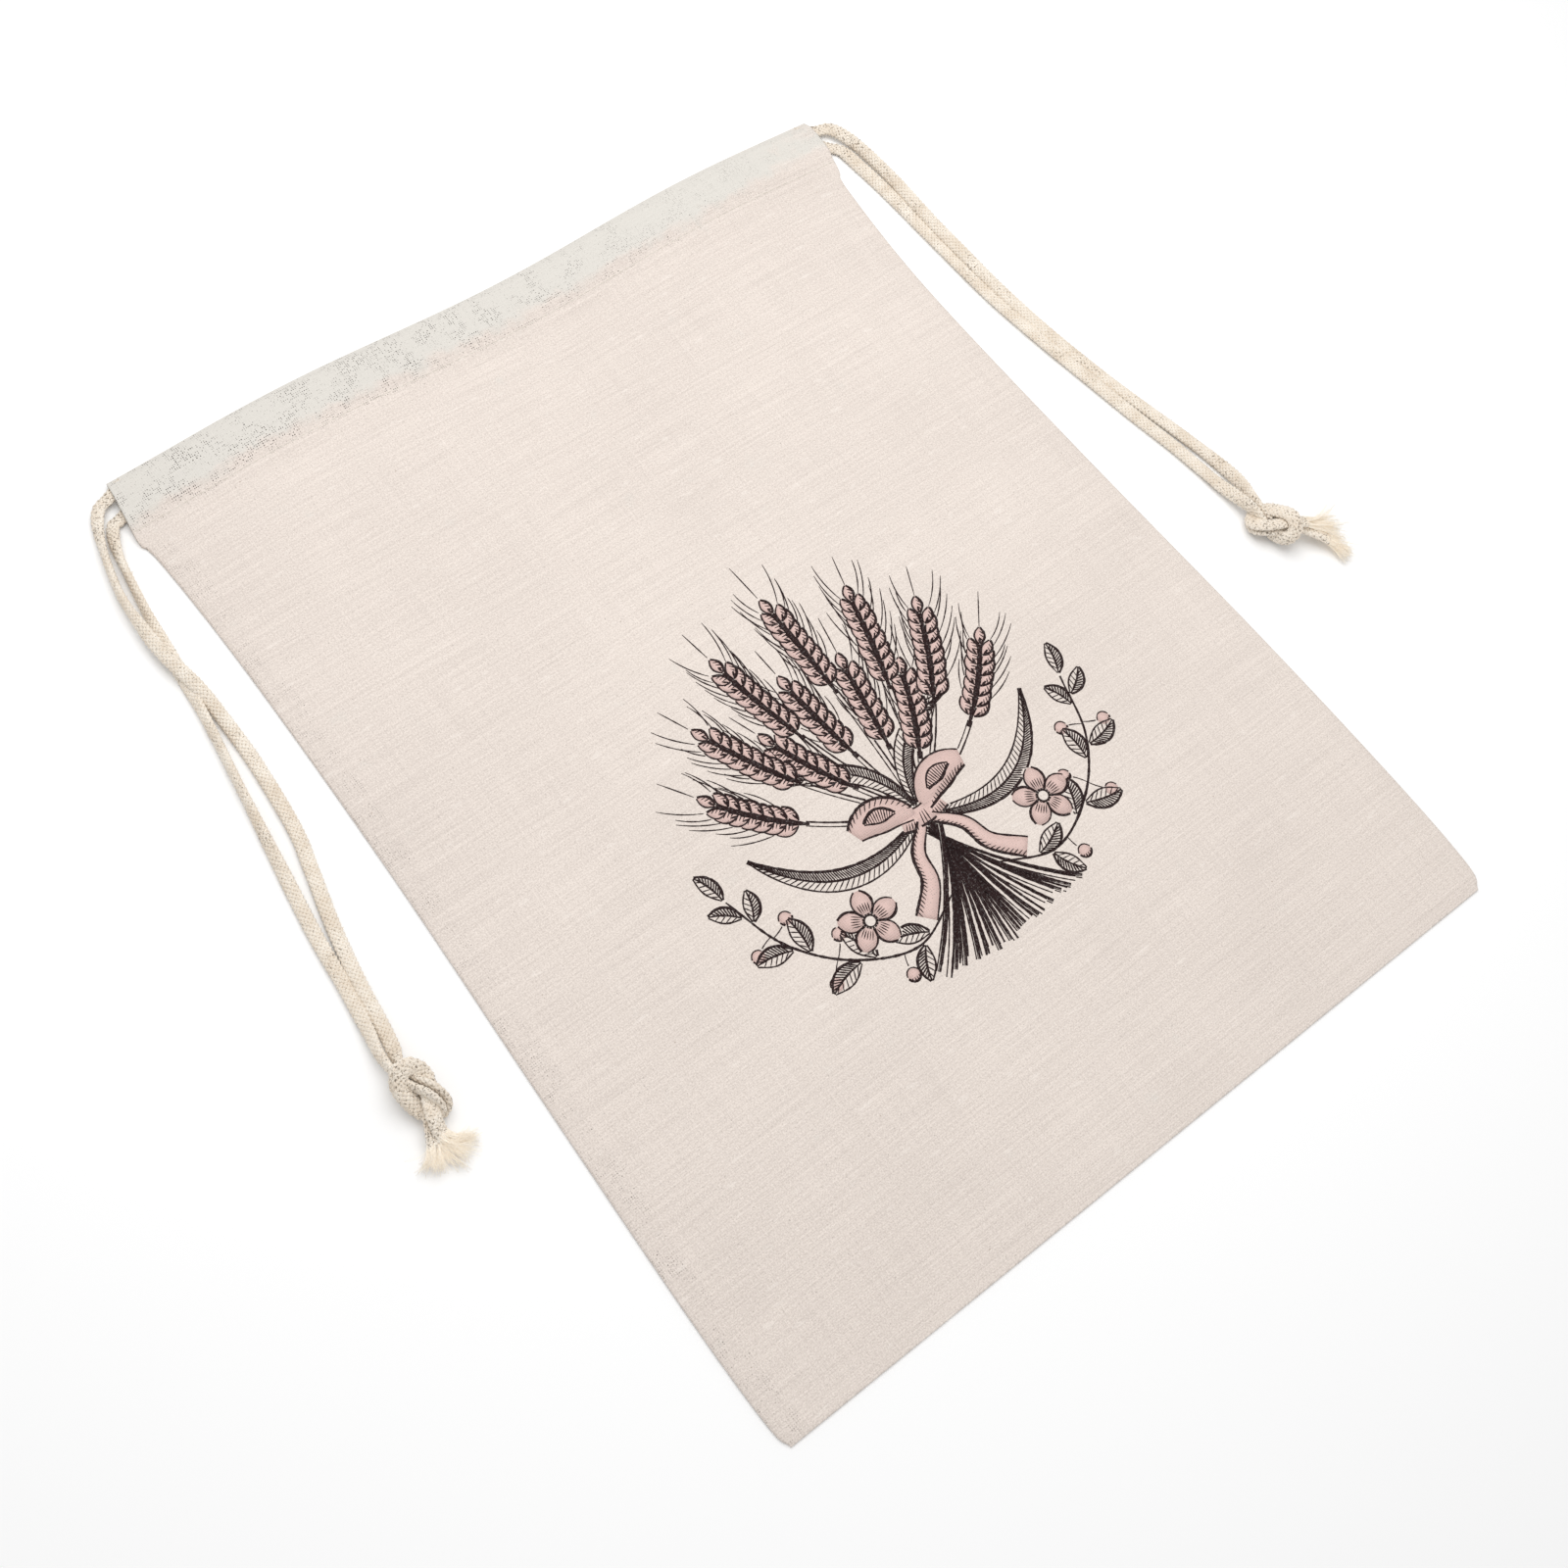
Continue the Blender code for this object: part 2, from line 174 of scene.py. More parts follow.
BACK_RIGHT = (
    (151.3, 176.4, 2.9),
    (154.4, 172.6, 2.1),
    (155.8, 162.0, TABLE),
    (157.1, 150.0, TABLE),
    (158.1, 138.0, TABLE),
    (158.9, 124.0, TABLE),
    (160.0, 107.0, TABLE),
    (161.2, 90.0, TABLE),
    (163.1, 75.5, TABLE),
    (165.8, 59.0, TABLE),
    (169.3, 40.5, TABLE),
    (173.5, 18.3, TABLE),
    (177.5, -0.4, TABLE),
    (180.2, -18.0, 2.1),
    (181.2, -29.5, 3.9),
    (180.8, -36.8, 6.3),
)

KNOT_TURN = 80.0  # degrees from flat, where every run meets its knot
CORDS = {
    # name: route, knot, side of the knot's line, frame's cord, tail, and how the run turns from flat,
    # as (millimetres from the casing, degrees)
    "cord_left_front": (
        FRONT_LEFT, "knot_left", 1, "drawcord_front", "tail_left_outer",
        ((0, 0), (9, 25), (22, 82), (45, 74), (62, 24), (95, 28), (120, 14), (150, 4), (200, 4), (221, 16))),
    "cord_left_back": (
        BACK_LEFT, "knot_left", -1, "drawcord_back", "tail_left_inner",
        ((0, 0), (8, 30), (20, 85), (40, 65), (58, 8), (80, 60), (110, 72), (150, 20), (185, 0))),
    "cord_right_front": (
        FRONT_RIGHT, "knot_right", 1, "drawcord_front", "tail_right_inner",
        ((0, 0), (10, 30), (22, 50), (60, 30), (110, 15), (150, 5), (200, 0))),
    "cord_right_back": (
        BACK_RIGHT, "knot_right", -1, "drawcord_back", "tail_right_outer",
        ((0, 0), (8, 20), (20, 30), (60, 5), (120, 0), (160, 10), (200, 0))),
}

# A tight overhand knot of the doubled cord, in widths of the pair, with x along the cord.
# This is its first half: the second is the first turned half round on the knot's y axis.
PAIR = 4.4
HALF_KNOT = (
    (-0.7, 0.16, 0.33),
    (0.5, 0.81, 0.35),
    (1.42, 0.81, -0.4),
    (1.62, 0.07, -0.9),
    (0.96, -0.68, -0.64),
    (0.0, -0.81, 0.0),
)
KNOT_MIDDLE_Z = 6.6
KNOTS = {
    # name: middle x, y, heading in degrees from +X, roll in degrees, size,
    # then where the pair goes in and comes out, as (along the heading, sideways)
    "knot_left": (-181.0, -44.5, -89.0, 15.0, 1.05, (-9.7, -1.3), (9.7, -1.4)),
    "knot_right": (184.6, -47.0, -58.0, 200.0, 1.0, (-9.0, 3.3), (9.9, 3.4)),
}
SIDE_BY_SIDE = 1.3  # half of the spread of the two cords inside a knot
TAILS = {
    # name: bend and tip of the frayed end, as (along the knot's heading, sideways, z), length still
    # braided, how far the brush spreads sideways to its right and left
    "tail_left_outer": ((15.5, -4.6, 4.0), (23.0, -8.6, 2.2), 7.5, 0.45, 0.25),
    "tail_left_inner": ((15.5, -1.4, 4.0), (24.4, 2.2, 2.2), 7.0, 0.35, 0.75),
    "tail_right_outer": ((15.6, 7.6, 4.2), (24.4, 12.0, 2.4), 1.6, 0.30, 0.28),
    "tail_right_inner": ((20.5, 3.6, 4.0), (31.0, 3.1, 2.2), 11.5, 0.50, 0.35),
}

# The print on the front: a sheaf of wheat tied with a ribbon, between two sprigs. Places and sizes are
# in millimetres from the print's own middle, and angles in degrees from straight up, to the right.
PRINT_AT = (5.5, -40.5)
STROKE_STEP, HATCH_STROKE = 1.05, 0.42  # between a stroke's points, and how wide a hatching stroke is
FILM, INK_PROUD, BLUSH_PROUD = 0.09, 0.06, 0.035  # thickness, and how far each stands off the cloth
TIE = (0.0, -20.0)
EARS = (
    # angle, distance of the ear's foot from the tie, ear's length, bow to one side
    (2.0, 52.0, 38.0, 1.5),
    (-17.0, 47.0, 38.0, -3.0),
    (21.0, 46.0, 38.0, 3.5),
    (-35.0, 42.0, 36.0, -4.5),
    (38.0, 42.0, 36.0, 5.0),
    (-9.0, 30.0, 34.0, -1.0),
    (11.0, 26.0, 34.0, 1.0),
    (-53.0, 38.0, 34.0, -6.0),
    (56.0, 37.0, 34.0, 6.0),
    (-29.0, 24.0, 33.0, -2.0),
    (31.0, 21.0, 33.0, 2.5),
)
GRAIN_LONG, GRAIN_WIDE, GRAIN_STEP = 8.0, 3.8, 4.0
LEAVES = (
    # angle, length, width, bow
    (-72.0, 62.0, 7.5, -15.0),
    (74.0, 60.0, 7.5, 16.0),
    (-45.0, 47.0, 6.5, 9.0),
    (49.0, 46.0, 6.5, -10.0),
)
SPRIG = ((9.0, -48.0), (30.0, -56.0), (51.0, -47.0), (66.0, -30.0), (73.0, -8.0))
SPRIG_LEAVES = (
    # share of the way along the sprig, angle from its direction, length, width
    (0.17, 44.0, 13.0, 6.5),
    (0.22, -50.0, 12.0, 6.0),
    (0.40, 42.0, 14.0, 7.0),
    (0.46, -46.0, 14.0, 7.0),
    (0.64, 42.0, 13.0, 6.5),
    (0.70, -44.0, 13.0, 6.5),
    (0.87, 38.0, 11.0, 5.5),
    (0.91, -40.0, 11.0, 5.5),
    (1.0, 0.0, 12.0, 5.5),
)
BERRIES = ((0.31, -7.5), (0.55, 8.5), (0.55, -8.5), (0.79, 8.0), (0.80, -8.0))  # share along, sideways
BERRY = 2.4  # a berry's half width
BLOSSOMS = ((-38.0, -40.0, 8.5), (38.5, -39.0, 8.5))  # x, y, petal length

# ---- curves and small helpers

rng = np.random.default_rng(11)


def unit(v):
    return v / np.maximum(np.linalg.norm(v, axis=-1, keepdims=True), 1e-9)


def smooth_curve(points, samples=12):
    """A Catmull-Rom curve through the points, as an array with that many samples between two."""
    p = np.array(points, dtype=float)
    p = np.vstack([2 * p[0] - p[1], p, 2 * p[-1] - p[-2]])
    t = np.linspace(0.0, 1.0, samples, endpoint=False)[:, None]
    spans = []
    for a, b, c, d in zip(p[:-3], p[1:-2], p[2:-1], p[3:]):
        spans.append(0.5 * (2 * b + (c - a) * t + (2 * a - 5 * b + 4 * c - d) * t**2
                            + (3 * b - a - 3 * c + d) * t**3))
    return np.vstack([*spans, p[-2:-1]])


def along(line):
    """The distance from the line's start to each of its points."""
    return np.concatenate([[0.0], np.cumsum(np.linalg.norm(np.diff(line, axis=0), axis=1))])


def at(distance, line, values=None):
    """The line, or the values along it, at those distances from its start."""
    where = along(line)
    values = line if values is None else values
    return np.stack([np.interp(distance, where, values[:, k]) for k in range(values.shape[1])], axis=1)


def spot(distance, line, values=None):
    """The same at one distance."""
    return at([distance], line, values)[0]


def evenly_spaced(line):
    length = along(line)[-1]
    return at(np.linspace(0.0, length, round(length / STEP) + 1), line)


def smoothstep(value, start, end):
    """0 before start and 1 after end, smoothly between."""
    t = np.clip((np.asarray(value, dtype=float) - start) / (end - start), 0.0, 1.0)
    return t * t * (3.0 - 2.0 * t)


def fall(value, start, end):
    """1 before start and 0 after end."""
    return 1.0 - smoothstep(value, start, end)


# ---- material building


class Value:
    """A shader socket that holds one number. Arithmetic on it adds Math nodes."""

    def __init__(self, shade, socket):
        self.shade, self.socket = shade, socket

    def math(self, operation, *others):
        inputs = dict(enumerate([self, *others]))
        return self.shade.value("ShaderNodeMath", {"operation": operation}, inputs)

    def __add__(self, other):
        return self.math("ADD", other)

    def __sub__(self, other):
        return self.math("SUBTRACT", other)

    def __mul__(self, other):
        return self.math("MULTIPLY", other)

    def __truediv__(self, other):
        return self.math("DIVIDE", other)

    def __rsub__(self, other):
        return self * -1.0 + other

    def step(self, start, end):
        """0 before start and 1 after end, smoothly between."""
        settings = {"interpolation_type": "SMOOTHSTEP"}
        inputs = {"Value": self, "From Min": start, "From Max": end}
        return self.shade.value("ShaderNodeMapRange", settings, inputs)


class Shade:
    """One material's nodes, with its Principled shader as .shader."""

    def __init__(self, name, roughness, sheen=0.0):
        self.material = bpy.data.materials.new(name)
        self.material.use_nodes = True
        self.shader = self.material.node_tree.nodes["Principled BSDF"]
        self.shader.inputs["Roughness"].default_value = roughness
        self.shader.inputs["Sheen Weight"].default_value = sheen
        self.shader.inputs["Specular IOR Level"].default_value = 0.25

    def node(self, kind, settings=None, inputs=None):
        """Adds a node with its settings and inputs."""
        made = self.material.node_tree.nodes.new(kind)
        for key, setting in (settings or {}).items():
            setattr(made, key, setting)
        for key, given in (inputs or {}).items():
            self.put(made.inputs[key], given)
        return made

    def put(self, socket, given):
        if isinstance(given, Value):
            given = given.socket
        if isinstance(given, bpy.types.NodeSocket):
            self.material.node_tree.links.new(given, socket)
        else:
            socket.default_value = given

    def value(self, kind, settings=None, inputs=None, output=0):
        return Value(self, self.node(kind, settings, inputs).outputs[output])

    def uv(self, name):
        """The two coordinates of a UV map, as values."""
        pair = self.node("ShaderNodeUVMap", {"uv_map": name}).outputs[0]
        split = self.node("ShaderNodeSeparateXYZ", {}, {0: pair})
        return Value(self, split.outputs[0]), Value(self, split.outputs[1])

    def attribute(self, name):
        return self.value("ShaderNodeAttribute", {"attribute_name": name}, output="Fac")

    def vector(self, x, y, z=0.0):
        return self.node("ShaderNodeCombineXYZ", {}, {0: x, 1: y, 2: z}).outputs[0]

    def noise(self, vector, scale, detail=2.0, rough=0.5):
        inputs = {"Vector": vector, "Scale": scale, "Detail": detail, "Roughness": rough}
        return self.value("ShaderNodeTexNoise", {}, inputs, "Fac")

    def mix(self, factor, a, b):
        """Colour a turned into colour b by the factor, as a socket."""
        return self.node("ShaderNodeMix", {"data_type": "RGBA"}, {0: factor, 6: a, 7: b}).outputs[2]

    def bump(self, height, depth):
        """Feeds the shader's normal. depth is the height, in metres, that 1 stands for."""
        made = self.node("ShaderNodeBump", {}, {"Height": height, "Distance": depth, "Strength": 1.0})
        self.put(self.shader.inputs["Normal"], made.outputs[0])

    def colour(self, given):
        self.put(self.shader.inputs["Base Color"], given)


def rgba(red, green, blue):
    """A colour from the usual 0 to 255 numbers."""
    linear = [((c / 255 + 0.055) / 1.055) ** 2.4 if c > 10 else c / 255 / 12.92 for c in (red, green, blue)]
    return (*linear, 1.0)


LINEN_DARK, LINEN_LIGHT, SLUB = rgba(206, 195, 187), rgba(240, 229, 220), rgba(248, 240, 232)
# The grey is painted shade over the casing, and the dark gap colour is painted shade in the gaps between
# threads
CASING_SHADE_GREY, GAP_SHADE, HUSK = rgba(217, 215, 208), rgba(66, 58, 54), rgba(120, 92, 66)
INK, BLUSH = rgba(40, 22, 22), rgba(228, 198, 190)
YARN_LIGHT, YARN_DARK, FLECK = rgba(249, 241, 229), rgba(230, 216, 198), rgba(104, 85, 64)
TEASED_LIGHT, TEASED_DARK, PAINTED_GLOW_COLOUR = rgba(255, 247, 234), rgba(247, 235, 216), rgba(255, 246, 232)
SEWING_LIGHT, SEWING_DARK = rgba(226, 220, 211), rgba(206, 199, 188)
# Strength of the painted glow: emission on the teased fibres that stands for light passed between them
PAINTED_GLOW = 0.15
THREAD = 0.00074  # metres from one thread to the next
PLY_PITCH = 0.0016  # metres along a yarn that its plies take once round it
WEAVE_RELIEF, YARN_RELIEF = 0.00012, 0.00008  # metres


def weave(m, x, y):
    """(height, pits, chance) of plain weave. x and y are places on the cloth in metres, with the weft along
    x. Pits are the gaps between threads, and chance is a number from 0 to 1 for each of them."""
    slow_x = m.noise(m.vector(x * 900.0, y * 60.0), 1.0, 1.0)
    slow_y = m.noise(m.vector(x * 45.0, y * 900.0, 7.0), 1.0, 1.0)
    warp, weft = x / THREAD + slow_x * 0.9, y / THREAD + slow_y * 0.9
    warp_wave, weft_wave = (warp * math.pi).math("SINE"), (weft * math.pi).math("SINE")
    over = warp_wave * weft_wave
    warp_round, weft_round = warp_wave * warp_wave, weft_wave * weft_wave
    height = (warp_round * (over * 0.5 + 0.5)).math("MAXIMUM", weft_round * (0.5 - over * 0.5))
    pits = 1.0 - warp_round.math("MAXIMUM", weft_round)
    gap = m.vector((warp + 0.5).math("FLOOR"), (weft + 0.5).math("FLOOR"))
    chance = m.value("ShaderNodeTexWhiteNoise", {"noise_dimensions": "2D"}, {"Vector": gap}, "Value")
    return height, pits, chance


def cloth_tone(m, x, y):
    """(tone, slubs, streaks) of the cloth's uneven yarns, each about 0 to 1."""
    weft = m.noise(m.vector(x * 26.0, y * 1050.0, 3.0), 1.0, 3.0, 0.6)
    warp = m.noise(m.vector(x * 1050.0, y * 26.0, 9.0), 1.0, 2.0, 0.6)
    cloud = m.noise(m.vector(x, y, 1.0), 16.0, 3.0)
    slubs = m.noise(m.vector(x * 120.0, y * 380.0, 5.0), 1.0, 1.0).step(0.66, 0.76)
    tone = weft * 0.55 + warp * 0.25 + cloud * 0.2
    return tone, slubs, weft


def linen():
    """Natural linen. Painted shade greys it over the casing, less of it towards the right, and painted shade
    darkens the gaps between its threads where it lies double, fewer of them towards the right. A few flecks
    of husk are spun in."""
    m = Shade("natural_linen", 0.92, 0.05)
    x, y = m.uv("cloth")
    doubled = m.attribute("doubled")
    height, pits, chance = weave(m, x, y)
    tone, slubs, streaks = cloth_tone(m, x, y)
    grain = m.noise(m.vector(x, y, 4.0), 2600.0, 2.0)
    speckle = m.noise(m.vector(x, y, 14.0), 1750.0, 2.0, 0.7)
    base = m.mix((tone * 0.4 + speckle * 0.6).step(0.32, 0.68), LINEN_DARK, LINEN_LIGHT)
    base = m.mix(slubs * 0.25, base, SLUB)
    clouds = m.noise(m.vector(x, y, 11.0), 85.0, 3.0, 0.6)
    # Painted shade: the casing is greyer, with a cloudy edge and less of it towards the right
    casing_shading = (m.attribute("casing_shade") * 0.6 + clouds - x.step(0.09, 0.15) * 0.25).step(0.62, 0.95) * 0.75
    base = m.mix(casing_shading, base, CASING_SHADE_GREY)
    patches = m.noise(m.vector(x, y, 2.0), 105.0, 3.0, 0.6).step(0.44, 0.58)
    # Painted shade in the gaps between threads, in patches where the cloth lies double, less towards the
    # right
    gaps = patches * chance.step(0.45, 0.55) * 0.9 + chance.step(0.86, 0.88) * 0.3 + 0.06
    gaps = gaps * doubled * (1.0 - x.step(-0.06, 0.14) * 0.7)
    gaps = pits.step(0.4, 0.85) * (gaps + chance.step(0.985, 0.99) * 0.3)
    base = m.mix(gaps, base, GAP_SHADE)
    husk_cells = m.node("ShaderNodeTexVoronoi", {}, {"Vector": m.vector(x, y * 1.6), "Scale": 230.0})
    husk_size = m.noise(m.vector(x, y, 8.0), 230.0, 0.0)
    husks = 1.0 - Value(m, husk_cells.outputs["Distance"]).step(0.0, 0.10)
    base = m.mix(husks * husk_size.step(0.70, 0.74) * 0.75, base, HUSK)
    m.colour(base)
    m.bump(height * 0.6 + grain * 0.5 + streaks * 0.3 + slubs * 0.2, WEAVE_RELIEF)
    return m.material


def printed(name, colour, cover):
    """Ink that soaked into the cloth: the weave shows through it, and it is thin over the gaps."""
    m = Shade(name, 0.9)
    x, y = m.uv("cloth")
    height, pits, chance = weave(m, x, y)
    blotch = m.noise(m.vector(x, y, 12.0), 1100.0, 3.0, 0.65)
    pale = tuple(c + (1 - c) * 0.10 for c in colour[:3])
    m.colour(m.mix(blotch.step(0.5, 0.75), colour, (*pale, 1.0)))
    m.bump(height * 0.6 + blotch * 0.4, WEAVE_RELIEF)
    worn = pits.step(0.3, 0.8) * chance.step(0.3, 0.9) * 0.35
    m.put(m.shader.inputs["Alpha"], cover - worn - blotch.step(0.62, 0.78) * 0.3)
    return m.material


def cotton(name, light, dark, twist, painted_glow=0.0):
    """Soft cotton yarn. Its plies run round it once in that many metres, and 0 leaves them out. It has dark
    flecks, more of them by the knots and the casing. Loose fibres pass light on to each other, and a painted
    glow from emission stands for that."""
    m = Shade(name, 0.92, 0.15)
    # Painted glow: emission that stands for light passed on between loose fibres
    m.shader.inputs["Emission Color"].default_value = PAINTED_GLOW_COLOUR
    m.shader.inputs["Emission Strength"].default_value = painted_glow
    place = m.node("ShaderNodeTexCoord").outputs["Object"]
    cloud = m.noise(place, 160.0, 2.0)
    fuzz = m.noise(place, 5200.0, 2.0, 0.6)
    base = m.mix((cloud * 0.5 + fuzz * 0.5).step(0.35, 0.65), dark, light)
    y = m.value("ShaderNodeSeparateXYZ", {}, {"Vector": place}, "Y")
    # Dark flecks come more often near the knots and near the casing
    by_knots_and_casing = y.step(0.150, 0.175) + 1.0 - y.step(-0.05, 0.01)
    specks = m.noise(place, 1400.0, 1.0) * 0.75 + m.noise(place, 90.0, 1.0) * 0.25 + by_knots_and_casing * 0.06
    base = m.mix(specks.step(0.635, 0.675) * (0.75 if twist else 0.1), base, FLECK)
    height = fuzz * 0.6
    if twist:
        length, round_it = m.uv("yarn")
        ply = ((length / twist + round_it) * (2 * math.pi * 2)).math("SINE")
        # Painted shade: the yarn is darker in the grooves between its plies, where the bump dips
        base = m.mix((1.0 - ply.step(-1.0, 0.1)) * 0.3, base, dark)
        height = height + ply * 0.5
    m.colour(base)
    m.bump(height, YARN_RELIEF)
    return m.material


# ---- mesh building


def add_object(name, data):
    obj = bpy.data.objects.new(name, data)
    bpy.context.scene.collection.objects.link(obj)
    return obj


class Skin:
    """Collects points in millimetres, faces and one UV map, and turns them into an object."""

    def __init__(self, uv_name):
        self.uv_name, self.points, self.faces, self.uvs = uv_name, [], [], []
        self.count = 0

    def add(self, points, faces, uvs):
        """faces index these points, and uvs holds one pair for each corner of each face."""
        self.points.append(np.asarray(points, dtype=float))
        self.faces.extend(tuple(i + self.count for i in face) for face in faces)
        self.uvs.extend(uvs)
        self.count += len(points)

    def sweep(self, centres, wide, thick, sides, start=0.0):
        """A closed tube whose oval section has the half axes wide and thick, a vector at each centre."""
        turn = np.arange(sides) / sides * 2 * math.pi - math.pi / 2
        rings = (centres[:, None] + np.cos(turn)[None, :, None] * wide[:, None]
                 + np.sin(turn)[None, :, None] * thick[:, None])
        length = (along(centres) + start) * MM
        n, faces, uvs = len(centres), [], []
        for i in range(n - 1):
            for j in range(sides):
                k = (j + 1) % sides
                faces.append((i * sides + j, i * sides + k, (i + 1) * sides + k, (i + 1) * sides + j))
                low, high = j / sides, (j + 1) / sides
                uvs += [(length[i], low), (length[i], high), (length[i + 1], high), (length[i + 1], low)]
        for ring, order in ((0, -1), (n - 1, 1)):
            faces.append(tuple(ring * sides + j for j in range(sides))[::order])
            uvs += [(length[ring], 0.5)] * sides
        self.add(rings.reshape(-1, 3), faces, uvs)

    def build(self, name, material):
        mesh = bpy.data.meshes.new(name)
        mesh.from_pydata((np.vstack(self.points) * MM).tolist(), [], self.faces)
        uvs = np.array(self.uvs, dtype=np.float32).ravel()
        mesh.uv_layers.new(name=self.uv_name).uv.foreach_set("vector", uvs)
        mesh.materials.append(material)
        mesh.shade_smooth()
        return add_object(name, mesh)


def finish_piece(obj, slot, *replaced):
    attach(obj, "root")
    if replaced:
        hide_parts(*replaced)
    return obj


# ---- camera, light and floor


CAMERA_PLACE, CAMERA_AHEAD = (-0.2356, -0.1695, 0.5758), (0.3334, 0.2284, -0.9147)
CAMERA_UP, SENSOR, LENS = (0.5201, 0.7647, 0.3805), 36.0, 43.35
KEY_PLACE, KEY_TARGET, KEY_SIZE, KEY_ENERGY = (0.08, 0.19, 0.75), (0.08, 0.17, 0.0), 0.8, 4.15
STUDIO_BRIGHTNESS, FLOOR_SIZE, FLOOR_COLOUR = 0.62, 6.0, (0.97, 0.97, 0.97, 1.0)


def add_camera():
    """Looks down on the bag's front from beyond its lower left corner."""
    forward = Vector(CAMERA_AHEAD).normalized()
    right = forward.cross(Vector(CAMERA_UP)).normalized()
    up = right.cross(forward)
    camera = bpy.data.cameras.new("camera")
    camera.sensor_width, camera.lens = SENSOR, LENS
    camera.clip_start, camera.clip_end = 0.01, 20.0
    obj = add_object("camera", camera)
    turn = Matrix((right, up, -forward)).transposed()
    obj.matrix_world = Matrix.Translation(CAMERA_PLACE) @ turn.to_4x4()
    bpy.context.scene.camera = obj


def add_studio():
    """Even white light from all round, one wide soft lamp over the mouth, and a pale floor."""
    scene = bpy.context.scene
    scene.view_settings.view_transform = "Standard"
    world = bpy.data.worlds.new("studio")
    world.use_nodes = True
    background = world.node_tree.nodes["Background"].inputs
    background["Color"].default_value = (1.0, 1.0, 1.0, 1.0)
    background["Strength"].default_value = STUDIO_BRIGHTNESS
    scene.world = world
    light = bpy.data.lights.new("key", "AREA")
    light.shape, light.size, light.energy = "DISK", KEY_SIZE, KEY_ENERGY
    lamp = add_object("key", light)
    lamp.location = KEY_PLACE
    lamp.rotation_euler = (Vector(KEY_TARGET) - Vector(KEY_PLACE)).to_track_quat("-Z", "Y").to_euler()
    bpy.ops.mesh.primitive_plane_add(size=FLOOR_SIZE, location=(0.0, 0.0, -0.0001))
    floor = bpy.context.active_object
    floor.name = "floor"
    material = Shade("studio_floor", 0.9)
    material.colour(FLOOR_COLOUR)
    floor.data.materials.append(material.material)


# ---- fuzz and stitches


class Tree:
    """A Geometry Nodes tree with named inputs. Run on an object, it gives a plain mesh."""

    def __init__(self, name, inputs):
        self.group = bpy.data.node_groups.new(name, "GeometryNodeTree")
        self.group.interface.new_socket("Geometry", in_out="INPUT", socket_type="NodeSocketGeometry")
        for label, kind in inputs.items():
            self.group.interface.new_socket(label, in_out="INPUT", socket_type="NodeSocket" + kind)
        self.group.interface.new_socket("Geometry", in_out="OUTPUT", socket_type="NodeSocketGeometry")
        self.inputs = self.group.nodes.new("NodeGroupInput").outputs

    def node(self, kind, settings, inputs, output=0):
        """Adds a node with its settings and inputs, and gives one of its outputs, or the node for None."""
        made = self.group.nodes.new(kind)
        for key, setting in settings.items():
            setattr(made, key, setting)
        for key, given in inputs.items():
            for item in given if isinstance(given, list) else [given]:
                if isinstance(item, bpy.types.NodeSocket):
                    self.group.links.new(item, made.inputs[key])
                else:
                    made.inputs[key].default_value = item
        return made if output is None else made.outputs[output]

    def math(self, operation, a, b):
        return self.node("ShaderNodeMath", {"operation": operation}, {0: a, 1: b})

    def vector(self, x, y, z):
        return self.node("ShaderNodeCombineXYZ", {}, {0: x, 1: y, 2: z})

    def leaning(self, rotation, most, seed):
        """The rotation, turned at random about its own axes by up to those radians each way."""
        ranges = {0: tuple(-angle for angle in most), 1: most, "Seed": seed}
        lean = self.node("FunctionNodeRandomValue", {"data_type": "FLOAT_VECTOR"}, ranges)
        lean = self.node("FunctionNodeEulerToRotation", {}, {0: lean})
        return self.node("FunctionNodeRotateRotation", {"rotation_space": "LOCAL"}, {0: rotation, 1: lean})

    def end(self, geometry):
        """Realises the geometry and gives it the material."""
        realized = self.node("GeometryNodeRealizeInstances", {}, {0: geometry})
        inputs = {0: realized, "Material": self.inputs["Material"]}
        finished = self.node("GeometryNodeSetMaterial", {}, inputs)
        self.group.links.new(finished, self.group.nodes.new("NodeGroupOutput").inputs[0])

    def run(self, obj, given):
        """Swaps the object's mesh for what the tree makes of it."""
        modifier = obj.modifiers.new(self.group.name, "NODES")
        modifier.node_group = self.group
        for item in self.group.interface.items_tree:
            if item.in_out == "INPUT" and item.name in given:
                modifier[item.identifier] = given[item.name]
        graph = bpy.context.evaluated_depsgraph_get()
        mesh = bpy.data.meshes.new_from_object(obj.evaluated_get(graph))
        obj.modifiers.remove(modifier)
        obj.data = mesh
        mesh.shade_smooth()
        return obj


def thread_between(tree, start, middle, end, radius, sides, steps):
    """A short bent thread, as a mesh."""
    inputs = {"Resolution": steps, "Start": start, "Middle": middle, "End": end}
    bent = tree.node("GeometryNodeCurveQuadraticBezier", {}, inputs)
    inputs = {"Resolution": sides, "Radius": radius}
    ring = tree.node("GeometryNodeCurvePrimitiveCircle", {"mode": "RADIUS"}, inputs)
    return tree.node("GeometryNodeCurveToMesh", {}, {0: bent, 1: ring, "Fill Caps": True})


